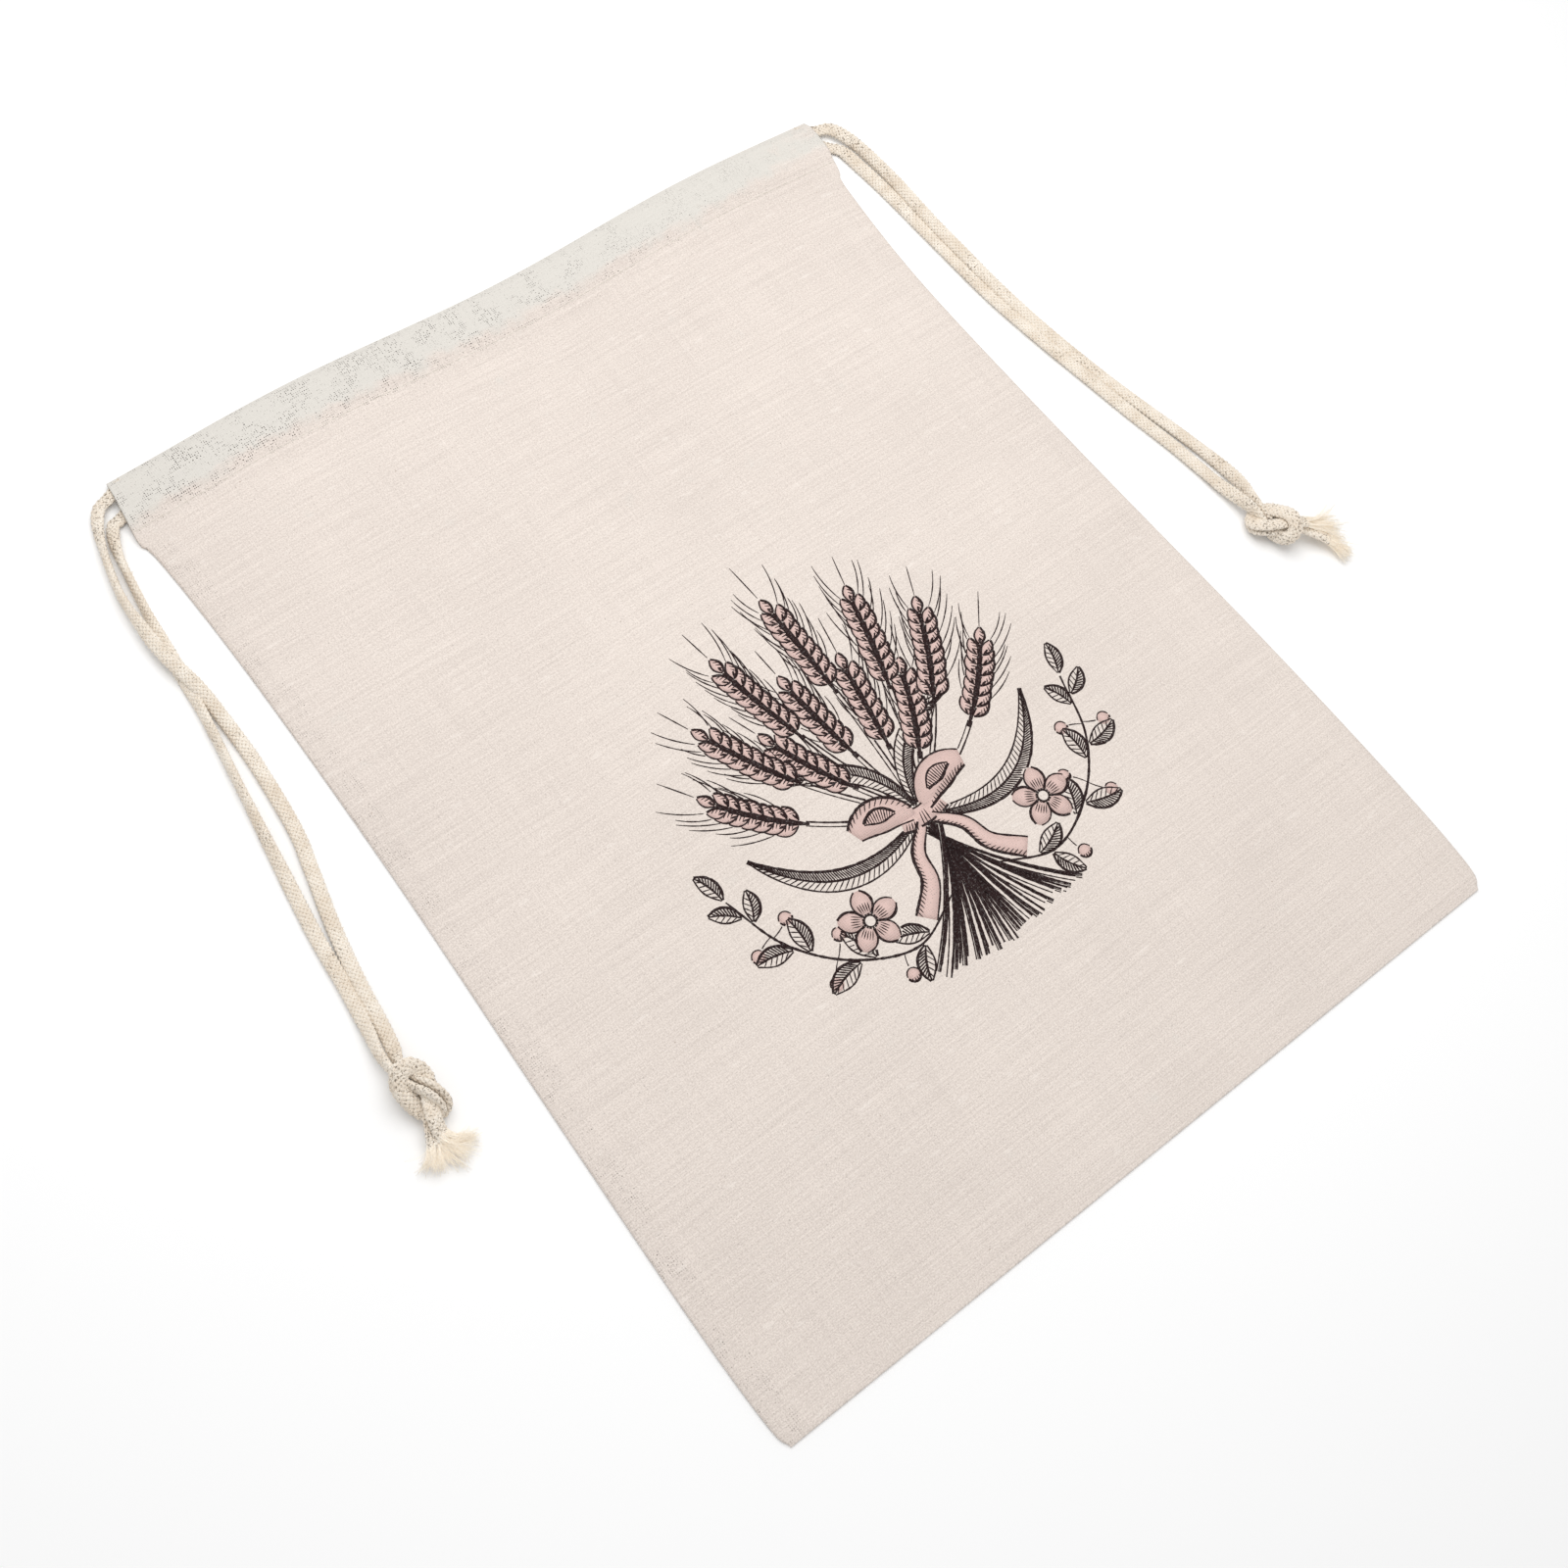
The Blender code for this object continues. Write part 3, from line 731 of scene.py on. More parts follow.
def fuzz_tree():
    """Adds short bent hairs all over a cord."""
    tree = Tree("cotton_fuzz", {"Hairs per square metre": "Float", "Hair length": "Float", "Seed": "Int",
                                "Material": "Material"})
    given = tree.inputs
    scatter = tree.node("GeometryNodeDistributePointsOnFaces", {}, {
        "Mesh": given["Geometry"], "Density": given["Hairs per square metre"], "Seed": given["Seed"]}, None)
    hair = thread_between(tree, *HAIR, HAIR_RADIUS, HAIR_SIDES, 2)
    turned = tree.leaning(scatter.outputs["Rotation"], (1.1, 1.1, 3.1), 5)
    uneven = tree.node("FunctionNodeRandomValue", {"data_type": "FLOAT"}, {2: 0.35, 3: 1.0, "Seed": 9}, 1)
    size = tree.math("MULTIPLY", uneven, given["Hair length"])
    hairs = tree.node("GeometryNodeInstanceOnPoints", {}, {
        "Points": scatter.outputs["Points"], "Instance": hair, "Rotation": turned,
        "Scale": tree.vector(size, size, size)})
    tree.end(tree.node("GeometryNodeJoinGeometry", {}, {0: [given["Geometry"], hairs]}))
    return tree


def stitch_tree():
    """Sets stitches of thread one after another along a line."""
    tree = Tree("casing_stitches", {"Spacing": "Float", "Stitch": "Float", "Height": "Float",
                                    "Thread radius": "Float", "Seed": "Int", "Material": "Material"})
    given = tree.inputs
    line = tree.node("GeometryNodeMeshToCurve", {}, {0: given["Geometry"]})
    spaced = {0: line, "Length": given["Spacing"]}
    places = tree.node("GeometryNodeCurveToPoints", {"mode": "LENGTH"}, spaced, None)
    half = tree.math("MULTIPLY", given["Stitch"], 0.5)
    low = tree.math("MULTIPLY", given["Height"], -0.5)
    start = tree.vector(tree.math("MULTIPLY", half, -1.0), 0.0, low)
    middle = tree.vector(0.0, 0.0, tree.math("MULTIPLY", given["Height"], 1.5))
    stitch = thread_between(tree, start, middle, tree.vector(half, 0.0, low), given["Thread radius"], 6, 5)
    tangent = {"Vector": places.outputs["Tangent"]}
    aligned = tree.node("FunctionNodeAlignRotationToVector", {"axis": "X"}, tangent)
    turned = tree.leaning(aligned, (0.0, 0.0, 0.09), given["Seed"])
    tree.end(tree.node("GeometryNodeInstanceOnPoints", {}, {
        "Points": places.outputs["Points"], "Instance": stitch, "Rotation": turned}))
    return tree


def sew_casing():
    """The row of stitches that closes the casing, on the front's face and on the back's."""
    tree, pieces = stitch_tree(), []
    thread = cotton("sewing_thread", SEWING_LIGHT, SEWING_DARK, 0.0)
    left, right = edges_at(STITCH_Y)
    x = np.linspace(left + 1.5, right - 1.5, 160)
    y = np.full_like(x, STITCH_Y)
    for side, layer, face in (("front", FRONT_LAYER, 1.0), ("back", BACK_LAYER, -1.0)):
        z = layer_height(layer, x, y) + face * LINEN / 2
        mesh = bpy.data.meshes.new("casing_stitches_" + side)
        edges = [(i, i + 1) for i in range(len(x) - 1)]
        points = np.stack([x, y + mouth_wave(x, y), z], axis=1) * MM
        mesh.from_pydata(points.tolist(), edges, [])
        row = add_object(mesh.name, mesh)
        tree.run(row, {"Spacing": STITCH_SPACING * MM, "Stitch": STITCH_LONG * MM,
                       "Height": face * STITCH_HIGH * MM, "Thread radius": THREAD_RADIUS * MM,
                       "Seed": 3, "Material": thread})
        pieces.append(finish_piece(row, "linen"))
    return pieces


# ---- cords


def flat_frame(knot):
    """Places a knot's own axes on the table, in millimetres: x is the way that its tails point."""
    middle_x, middle_y, heading = KNOTS[knot][:3]
    return Matrix.Translation((middle_x, middle_y, 0.0)) @ Matrix.Rotation(math.radians(heading), 4, "Z")


def placed(matrix, points):
    return np.array([matrix @ Vector(p) for p in points])


def carried(line, first):
    """A direction carried along the line without turning about it, from the given first one."""
    tangents = unit(np.gradient(line, axis=0))
    normals = [np.array(first, dtype=float)]
    for tangent in tangents:
        previous = normals[-1]
        normals.append(previous - tangent * (previous @ tangent))
        normals[-1] /= np.linalg.norm(normals[-1])
    return np.array(normals[1:])


def knot_line(knot):
    """(line, normals) of the pair of cords through a knot."""
    roll, size, enter, leave = KNOTS[knot][3:]
    second = [(-x, y, -z) for x, y, z in reversed(HALF_KNOT[:-1])]
    turn = Matrix.Rotation(math.radians(roll), 4, "X") @ Matrix.Scale(PAIR * size, 4)
    path = [(*enter, 0.0), *(turn @ Vector(p) for p in (*HALF_KNOT, *second)), (*leave, 0.0)]
    ahead = flat_frame(knot)
    line = placed(ahead @ Matrix.Translation((0.0, 0.0, KNOT_MIDDLE_Z)), path)
    line = evenly_spaced(smooth_curve(line))
    return line, carried(line, ahead.to_3x3() @ Vector((0.0, 1.0, 0.0)))


def free_line(route, turns, knot_start):
    """(line, turn in radians, share of the thickness) of a cord's free run, which starts inside the casing.
    It lies on the table on its flat or on its edge, and the casing presses it thin. The route's heights are
    for the frame's round cord, and a flat one needs less of the rise over what it crosses."""
    start = np.array(route[0]) + IN_CASING * unit(np.array(route[0]) - np.array(route[1])) * (1.0, 1.0, 0.0)
    line = evenly_spaced(smooth_curve([start, *route[:-1], knot_start], 24))
    where = along(line) - IN_CASING
    stops = [*turns, (where[-1], KNOT_TURN)]
    turn = np.radians(np.interp(where, *zip(*stops)))
    pressed = PRESSED + (1.0 - PRESSED) * smoothstep(where, 0.0, 10.0)
    half = np.hypot(CORD_WIDE / 2 * np.sin(turn), CORD_THICK / 2 * pressed * np.cos(turn))
    packed = 0.8 - 0.37 * smoothstep(line[:, 1], 140.0, 172.0)
    resting = half + 0.05 + np.maximum(line[:, 2] - TABLE, 0.0) * packed
    to_knot = smoothstep(where, where[-1] - 14.0, where[-1])
    line[:, 2] = resting * (1 - to_knot) + line[:, 2] * to_knot
    return line, turn, pressed


def eased(values, reach):
    """The rows, each averaged with that many neighbours on both sides."""
    kernel = np.hanning(2 * reach + 1)
    kernel /= kernel.sum()
    padded = np.pad(values, ((reach, reach), (0, 0)), mode="edge")
    return np.stack([np.convolve(padded[:, k], kernel, "valid") for k in range(values.shape[1])], axis=1)


def softened(line, middle, reach):
    """The line with its points averaged near that index."""
    weight = np.exp(-(((np.arange(len(line)) - middle) * STEP / reach) ** 2))[:, None]
    return line * (1 - weight) + eased(line, int(reach / STEP)) * weight


def cord_path(route, knot, side, tail, turns):
    """One cord from the casing through its knot to its tail: its line, the directions of its width and
    thickness, the shares of its width and thickness that it keeps, and where along it the knot starts."""
    pair, normals = knot_line(knot)
    inside = pair + normals * side * SIDE_BY_SIDE * KNOTS[knot][4]
    run, turn, pressed = free_line(route, turns, inside[0])
    bend, tip = placed(flat_frame(knot), TAILS[tail][:2])
    out = evenly_spaced(smooth_curve([inside[-1], bend, tip], 24))[1: int(TAILS[tail][2] / STEP)]
    line = np.vstack([run, inside[1:], out])
    line = softened(softened(line, len(run), 5.0), len(run) + len(inside), 2.0)
    tangents = unit(np.gradient(line, axis=0))
    level = unit(np.cross((0.0, 0.0, 1.0), tangents))
    up = np.cross(tangents, level)
    cos, sin = np.cos(turn)[:, None], np.sin(turn)[:, None]
    n = len(run)
    sign = -1.0 if normals[0] @ level[n] > 0 else 1.0
    last = np.repeat(normals[-1:] * sign, len(out), axis=0)
    thick = np.vstack([-sin * level[:n] + cos * up[:n], normals[1:] * sign, last])
    thick = eased(thick, 16)
    thick = unit(thick - tangents * (thick * tangents).sum(axis=1, keepdims=True))
    where = along(line)
    knot_at, tail_at = where[n - 1], where[n + len(inside) - 2]
    squeezed = smoothstep(where, knot_at - 6.0, knot_at + 3.0) * fall(where, tail_at - 1.0, tail_at + 6.0)
    splayed = smoothstep(where, tail_at - 1.0, tail_at + 5.0)
    pressed = np.pad(pressed, (0, len(line) - n), mode="edge")
    kept = np.stack([1.0 + 0.10 * squeezed + 0.16 * splayed, (1.0 - 0.04 * squeezed) * pressed], axis=1)
    return line, np.cross(thick, tangents), thick, kept, knot_at


def oval_turn(half_wide, half_thick):
    """The angle on an oval for each share of the way round it."""
    turn = np.linspace(0.0, 2 * math.pi, 241)
    edge = np.stack([half_wide * np.cos(turn), half_thick * np.sin(turn), 0 * turn], axis=1)
    where = along(edge)
    return where / where[-1], turn


def braid(skin, path, start, end):
    """The yarns of a flat braid along part of a cord's path, over and under each other, round a core."""
    line, wide, thick, kept = path[:4]
    half_wide = CORD_WIDE / 2 - YARN_SWING - YARN_THICK / 2
    half_thick = CORD_THICK / 2 - YARN_SWING - YARN_THICK / 2
    shares, turns = oval_turn(half_wide, half_thick)
    crossing = BRAID_PITCH / (2 * YARNS_EACH_WAY)
    s = np.arange(math.ceil(start / crossing * 2), math.floor(end / crossing * 2) + 1) * crossing / 2
    s = np.concatenate([[start], s[(s > start + 0.05) & (s < end - 0.05)], [end]])
    size = at(s, line, kept)
    middle = at(s, line)
    across, deep = unit(at(s, line, wide)) * size[:, :1], unit(at(s, line, thick)) * size[:, 1:]
    for hand in (1.0, -1.0):
        swing = hand * YARN_SWING * np.cos(math.pi * s / crossing)[:, None]
        for lane in range(YARNS_EACH_WAY):
            share = (hand * s / BRAID_PITCH + lane / YARNS_EACH_WAY) % 1.0
            turn = np.interp(share, shares, turns)[:, None]
            outward = unit(np.cos(turn) / half_wide * across + np.sin(turn) / half_thick * deep)
            on_oval = half_wide * np.cos(turn) * across + half_thick * np.sin(turn) * deep
            centres = middle + on_oval + swing * outward * size[:, 1:]
            tangent = unit(np.gradient(centres, axis=0))
            outward = unit(outward - tangent * (outward * tangent).sum(axis=1, keepdims=True))
            beside = np.cross(tangent, outward) * YARN_WIDE / 2 * size[:, :1]
            skin.sweep(centres, beside, outward * YARN_THICK / 2 * size[:, 1:], YARN_SIDES, lane * 1.7)
    core = slice(None, None, 6)
    skin.sweep(middle[core], across[core] * (half_wide - 0.1), deep[core] * (half_thick - 0.05), CORE_SIDES)


def add_fibres(skin, path, tail, knot):
    """A frayed end: every yarn leaves the braid's end and comes apart into fine fibres that splay out."""
    _, tip, _, right, left = TAILS[tail]
    line, wide, thick = path[:3]
    end, across, deep, forward = line[-1], wide[-1], thick[-1], unit(line[-1] - line[-8])
    tip = placed(flat_frame(knot), [tip])[0]
    aim, reach = unit(tip - end), np.linalg.norm(tip - end)
    sideways = unit(np.cross((0.0, 0.0, 1.0), aim))
    leans = rng.permutation(np.linspace(-right, left, 2 * YARNS_EACH_WAY))
    t = np.linspace(0.0, 1.0, FIBRE_POINTS)[:, None]
    for yarn, lean in enumerate(leans):
        angle = math.pi * (yarn + 0.5) / YARNS_EACH_WAY
        root = end - forward * 1.2 + across * 2.2 * math.cos(angle) + deep * 0.9 * math.sin(angle)
        yarn_aim = aim + sideways * lean + rng.normal(0, 0.05, 3)
        curl, yarn_length = rng.normal(0, 0.16, 3), reach * rng.uniform(0.78, 1.0) + 1.2
        for fibre in range(FIBRES_EACH):
            stray = 3.0 if fibre % 9 == 0 else 1.0
            own = unit(yarn_aim + rng.normal(0, 0.075 * stray, 3))
            length = yarn_length * rng.uniform(0.72, 1.08)
            bend = curl + rng.normal(0, 0.07 * stray, 3)
            splay = 0.8 * forward * t * (1 - t) + own * t**1.5 + bend * t**2 * 0.6
            points = root + rng.normal(0, 0.24, 3) + length * splay
            points[:, 2] = np.maximum(points[:, 2], rng.uniform(0.15, 0.5))
            size = rng.uniform(0.075, 0.115) * np.linspace(1.0, 0.5, FIBRE_POINTS)[:, None]
            tangent = unit(np.gradient(points, axis=0))
            side = unit(np.cross(tangent, (0.1, 0.2, 1.0)))
            skin.sweep(points, side * size, np.cross(side, tangent) * size, FIBRE_SIDES, fibre * 0.37)


def make_cords():
    """The free runs, the knots, the frayed ends and the runs hidden in the casings."""
    yarn = cotton("cotton_braid", YARN_LIGHT, YARN_DARK, PLY_PITCH)
    teased = cotton("teased_cotton", TEASED_LIGHT, TEASED_DARK, 0.0, PAINTED_GLOW)
    paths, free, knots = {}, {}, {knot: Skin("yarn") for knot in KNOTS}
    fuzz = fuzz_tree()
    hairs = {"Hairs per square metre": HAIRS_PER_SQUARE_METRE, "Hair length": HAIR_LENGTH * MM,
             "Seed": 4, "Material": yarn}
    for name, (route, knot, side, _, tail, turns) in CORDS.items():
        path = paths[name] = cord_path(route, knot, side, tail, turns)
        end = along(path[0])[-1]
        skin = Skin("yarn")
        braid(skin, path, 0.0, path[4])
        free[name] = fuzz.run(skin.build(name, yarn), hairs)
        braid(knots[knot], path, path[4], end)
    for knot, skin in knots.items():
        wound = fuzz.run(skin.build(knot + "_wound", yarn), hairs)
        finish_piece(wound, "cotton_cord", knot)
    for name, (_, knot, _, _, tail, _) in CORDS.items():
        skin = Skin("yarn")
        add_fibres(skin, paths[name], tail, knot)
        finish_piece(skin.build(tail + "_frayed", teased), "cotton_cord", tail)
    for name, (route, knot, _, node, tail, _) in CORDS.items():
        piece = finish_piece(free[name], "cotton_cord", node)
        line, knot_at = paths[name][0], paths[name][4]
        centres = line[along(line) <= knot_at + 0.01][::8] * MM
        [c * MM for c in route[0]]
        round(knot_at * MM, 3)
    for side, middle_y in (("front", FRONT_CORD_Y), ("back", BACK_CORD_Y)):
        (left_x, _, left_z), (right_x, _, right_z) = (
            paths["cord_" + hand + "_" + side][0][0] for hand in ("left", "right"))
        x = np.linspace(left_x - 1.0, right_x + 1.0, 60)
        y = middle_y + mouth_wave(x, 180.0)
        z = np.interp(x, (left_x, right_x), (left_z, right_z))
        across = np.repeat([[0.0, -CORD_WIDE / 2 * 0.9, 0.0]], len(x), axis=0)
        deep = np.repeat([[0.0, 0.0, CORD_THICK / 2 * PRESSED]], len(x), axis=0)
        skin = Skin("yarn")
        skin.sweep(np.stack([x, y, z], axis=1), across, deep, 12)
        finish_piece(skin.build("cord_in_" + side + "_casing", yarn), "cotton_cord", "drawcord_" + side)


# ---- print


def way(degrees):
    """The direction at that angle from straight up, to the right."""
    return np.array([math.sin(math.radians(degrees)), math.cos(math.radians(degrees))])


def rightward(ahead):
    """The direction to the right of the given one."""
    return ahead[[1, 0]] * (1.0, -1.0)


def left_of(points):
    """The direction to the left of a line at each of its points."""
    tangents = unit(np.gradient(points, axis=0))
    return np.stack([-tangents[:, 1], tangents[:, 0]], axis=1)


def bowed(start, end, bow, steps):
    """Points from start to end on an arc that stands off the straight line by bow to its right."""
    start, end = np.array(start, dtype=float), np.array(end, dtype=float)
    t = np.linspace(0.0, 1.0, steps)[:, None]
    return start * (1 - t) + end * t + rightward(unit(end - start)) * bow * 4 * t * (1 - t)


def within(points, polygon):
    """Which of the points lie inside the closed polygon."""
    x, y = points[:, :1], points[:, 1:]
    (ax, ay), (bx, by) = polygon.T, np.roll(polygon, -1, axis=0).T
    rise = np.where(by == ay, 1e-9, by - ay)
    crosses = ((ay > y) != (by > y)) & (x < ax + (y - ay) / rise * (bx - ax))
    return crosses.sum(axis=1) % 2 == 1


class Engraving:
    """Ink and a blush tint on the front's face. What is drawn first hides what passes under it later."""

    def __init__(self):
        self.ink, self.blush, self.covers = Skin("cloth"), Skin("cloth"), []

    def lay(self, skin, spine, half, lift):
        """A strip along the spine, half wide to each side of it."""
        off = left_of(spine) * half[:, None]
        flat = np.stack([spine - off, spine + off], axis=1).reshape(-1, 2) + PRINT_AT
        z = layer_height(FRONT_LAYER, *flat.T) + LINEN / 2 + lift
        uvs, faces = flat * (MM, -MM), []
        for i in range(0, 2 * len(spine) - 2, 2):
            faces.append((i, i + 2, i + 3, i + 1))
        skin.add(np.column_stack([flat, z]), faces, [tuple(uvs[k]) for face in faces for k in face])

    def line(self, points, width, taper=0.5):
        """A stroke that thins towards its ends, left out where something drawn before it covers it."""
        length = along(points)[-1]
        steps = max(3, round(length / STROKE_STEP) + 1)
        points = at(np.linspace(0.0, length, steps), points)
        t = np.linspace(0.0, 1.0, steps)
        half = width / 2 * (1 - taper * np.abs(2 * t - 1) ** 2) * (1 + 0.12 * rng.normal(size=steps))
        clear = np.ones(steps, dtype=bool)
        for cover in self.covers:
            low, high = cover.min(axis=0), cover.max(axis=0)
            if (low < points.max(axis=0)).all() and (high > points.min(axis=0)).all():
                clear &= ~within(points, cover)
        for run in np.split(np.arange(steps), np.flatnonzero(np.diff(clear)) + 1):
            if clear[run[0]] and len(run) > 1:
                self.lay(self.ink, points[run], half[run], INK_PROUD)

    def tick(self, root, tip, width):
        self.line(np.array([root, (root + tip) / 2, tip]), width)

    def cover(self, spine, off):
        """Keeps what comes later out of the strip that lies within off of the spine."""
        self.covers.append(np.vstack([spine + off, (spine - off)[::-1]]))

    def shape(self, spine, half, edge, tint=True, hatch=None):
        """An outlined shape along a spine, which covers what comes later. hatch is (spacing, reach, slant) of
        the strokes from its right edge inwards."""
        off = left_of(spine) * half[:, None]
        if tint:
            self.lay(self.blush, spine, half, BLUSH_PROUD)
        self.line(spine + off, edge, 0.2)
        self.line(spine - off, edge * 1.6, 0.2)
        if hatch:
            spacing, reach, slant = hatch
            length = along(spine)[-1]
            for s in np.arange(spacing, length - spacing, spacing):
                foot = spot(s, spine, spine - off)
                further = min(s + slant * reach * half.max(), length)
                self.tick(foot, spot(further, spine, spine - off * (1 - 2 * reach)), HATCH_STROKE)
        self.cover(spine, off)

    def finish(self):
        """The two prints as thin films let into the cloth."""
        pieces = []
        prints = (("print_ink", self.ink, INK, 1.0), ("print_blush", self.blush, BLUSH, 0.9))
        for name, skin, colour, cover in prints:
            film = skin.build(name, printed(name, colour, cover))
            solid = film.modifiers.new("Film", "SOLIDIFY")
            solid.thickness, solid.offset = FILM * MM, -1.0
            pieces.append(finish_piece(film, "linen"))
        return pieces


def almond(share, width):
    """Half widths of a leaf or a grain at each share of its length."""
    return width / 2 * np.sin(math.pi * np.clip(share, 0.02, 0.98)) ** 0.75


def draw_ribbon(art):
    """A band round the sheaf, with a bow of two loops and two ends."""
    x, y = TIE
    band = bowed((x - 8.5, y), (x + 8.5, y), 1.6, 12)
    hub = bowed((x - 2.4, y - 0.6), (x + 2.8, y - 0.6), 0.3, 8)
    art.shape(hub, np.full(8, 3.4), 0.7, hatch=(1.1, 0.7, 0.3))
    for side in (-1, 1):
        loop = bowed((x + side * 2.5, y + 0.4), (x + side * 24.0, y + 7.0 + side), side * -4.0, 16)
        width = 1.6 + 4.6 * np.sin(np.linspace(0.0, 0.93 * math.pi, 16)) ** 0.8
        inner = 0.42 * width[4:13] * np.sin(np.linspace(0.1, 3.04, 9))
        art.shape(loop[4:13], inner, 0.7, False, (0.9, 0.95, 0.2))
        art.shape(loop, width, 0.7, hatch=(1.6, 0.22, 1.0))
        hanging = ((2, 3), (10, 11), (13, 21), (22, 30))
        tail = smooth_curve([(x + side * out, y - down) for out, down in hanging], 6)
        art.shape(tail, np.linspace(1.6, 3.6, len(tail)), 0.7, hatch=(1.5, 0.3, 1.4))
    art.shape(band, np.full(12, 3.0), 0.7, hatch=(1.0, 0.5, 0.4))


def draw_ear(art, angle, foot, length, bow):
    """An ear of wheat: grains in pairs along its axis, each with a long awn, on a straw from the tie."""
    end = np.array(TIE) + way(angle) * (foot + length)
    straw = bowed(TIE, end, bow, 60)
    where = along(straw)
    total = where[-1]
    awns = []
    for place in np.arange(total - 3.0, total - length, -GRAIN_STEP):
        middle, ahead = spot(place, straw), unit(spot(place + 1.0, straw) - spot(place - 1.0, straw))
        for side in (-1, 1) if place < total - 4.0 else (0,):
            lean = math.radians(27.0 * side + rng.normal(0, 2.5))
            along_grain = ahead * math.cos(lean) + rightward(ahead) * math.sin(lean)
            root = middle + rightward(ahead) * side * 0.7
            tip = root + along_grain * GRAIN_LONG * (1 - 0.18 * (place > total - 9.0))
            grain = bowed(root, tip, 0.5 * side, 8)
            art.line(at([0.3, 1.4, 2.6], grain) + rightward(ahead) * side * 0.5, 0.9, 0.6)
            art.shape(grain, almond(np.linspace(0, 1, 8), GRAIN_WIDE), 0.62, hatch=(1.25, 0.5, 1.4))
            awns.append((tip, along_grain + ahead * 0.5, side))
    for tip, aim, side in awns:
        long = rng.uniform(11.0, 17.0)
        art.line(bowed(tip, tip + unit(aim) * long, 0.8 * side, 8), 0.45, 0.6)
    art.line(straw[where > total - length - 2.0], 2.0)
    return straw[where < total - length + 1.0]


def draw_leaf(art, spine, width):
    """A leaf with a midrib, dark close hatching on its right half and a few veins on its left."""
    share = np.linspace(0.0, 1.0, len(spine))
    half = almond(share, width)
    off = left_of(spine) * half[:, None]
    art.line(spine, 0.8, 0.4)
    length = along(spine)[-1]
    for side, gap, stroke in ((-1, 0.95, 0.55), (1, 1.9, 0.4)):
        for s in np.arange(1.5, length - 2.5, gap):
            tip = spot(min(s + width * 0.34, length), spine, spine + side * off * 0.96)
            art.tick(spot(s, spine), tip, stroke)
    art.shape(spine, half, 0.6, False)


def draw_blossom(art, x, y, petal):
    """Five petals with a fan of fine strokes at the foot of each, round a ring of dots."""
    middle = np.array([x, y])
    for angle in np.arange(0.0, 360.0, 24.0):
        dot = middle + way(angle) * 1.7
        art.line(np.array([dot, dot + way(angle) * 0.5, dot + way(angle)]), 0.9, 0.1)
    for angle in np.arange(5) * 72.0 + 12.0:
        ahead = way(angle)
        spine = bowed(middle + ahead * 2.4, middle + ahead * (2.4 + petal), 0.0, 9)
        for fan in (-24.0, -12.0, 0.0, 12.0, 24.0):
            root = middle + way(angle + fan) * 3.4
            bend, tip = root + way(angle + fan * 0.5) * 1.6, root + way(angle + fan * 0.4) * 3.2
            art.line(np.array([root, bend, tip]), 0.4, 0.7)
        art.shape(spine, 3.6 * np.sin(math.pi * np.linspace(0.06, 0.97, 9)) ** 0.55, 0.6)


def draw_print():
    """The sheaf in front, then the leaves, the sprigs and the straws behind it."""
    art = Engraving()
    draw_ribbon(art)
    straws = [draw_ear(art, *ear) for ear in EARS]
    for x, y, petal in BLOSSOMS:
        draw_blossom(art, x, y, petal)
    for angle, length, width, bow in LEAVES:
        end = np.array(TIE) + way(angle) * length
        draw_leaf(art, bowed(TIE, end, bow, 40), width)
    for mirror in (-1, 1):
        stem = smooth_curve(np.array(SPRIG) * (mirror, 1.0), 14)
        total = along(stem)[-1]
        for share, angle, length, width in SPRIG_LEAVES:
            root = spot(share * total, stem)
            ahead = unit(root - spot(share * total - 2.0, stem))
            out = way(math.degrees(math.atan2(ahead[0], ahead[1])) - angle * mirror)
            draw_leaf(art, bowed(root + out * 1.2, root + out * (length + 1.2), 0.8, 14), width)
        for share, sideways in BERRIES:
            root = spot(share * total, stem)
            berry = root + left_of(stem)[int(share * (len(stem) - 1))] * sideways * mirror
            spine = bowed(berry - (BERRY, 0.0), berry + (BERRY, 0.0), 0.0, 9)
            art.shape(spine, BERRY * np.sqrt(np.clip(1 - np.linspace(-1, 1, 9) ** 2, 0.02, 1)), 0.5,
                      hatch=(0.9, 0.3, 0.3))
            art.line(bowed(root, berry, 0.5, 8), 0.45)
        art.line(stem, 0.9, 0.3)
    for straw in straws:
        off = left_of(straw) * 0.75
        art.line(straw + off, 0.45, 0.2)
        art.line(straw - off, 0.7, 0.2)
        art.cover(straw, off)
    for k, x in enumerate(np.linspace(-30.0, 30.0, 29)):
        foot = (x + rng.normal(0, 0.5), -66.0 - 5.0 * math.cos(x / 22.0) + rng.normal(0, 1.2))
        straw = bowed(foot, (TIE[0] - x * 0.2, TIE[1]), -x * 0.1, 30)
        off = left_of(straw) * (0.8 if k % 2 else 0.6)
        art.line(straw - off, 0.95, 0.25)
        art.line(straw + off, 0.55, 0.25)
        if k % 2 == 0:
            art.line(straw, 0.6, 0.6)
        art.cover(straw, off)
    return art.finish()


# ---- cloth


def mouth_wave(x, y):
    """How far the mouth's waviness moves a point along Y."""
    wave = WAVE_HEIGHT * np.cos(2 * math.pi * (x - WAVE_CREST_X) / WAVE_LENGTH)
    return wave * smoothstep(y, WAVE_END_Y, SEAM_END_Y)


outline = smooth_curve([row[1:] for row in OUTLINE])[::-1]


def edges_at(y):
    """The left and right edge of the cloth at that height."""
    left = np.interp(y, outline[:, 0], outline[:, 1]) + LINEN / 2
    right = np.interp(y, outline[:, 0], outline[:, 2]) - LINEN / 2
    return left, right


def inset(x, y):
    """How far a point is from the nearer side edge."""
    left, right = edges_at(y)
    return np.minimum(x - left, right - x)


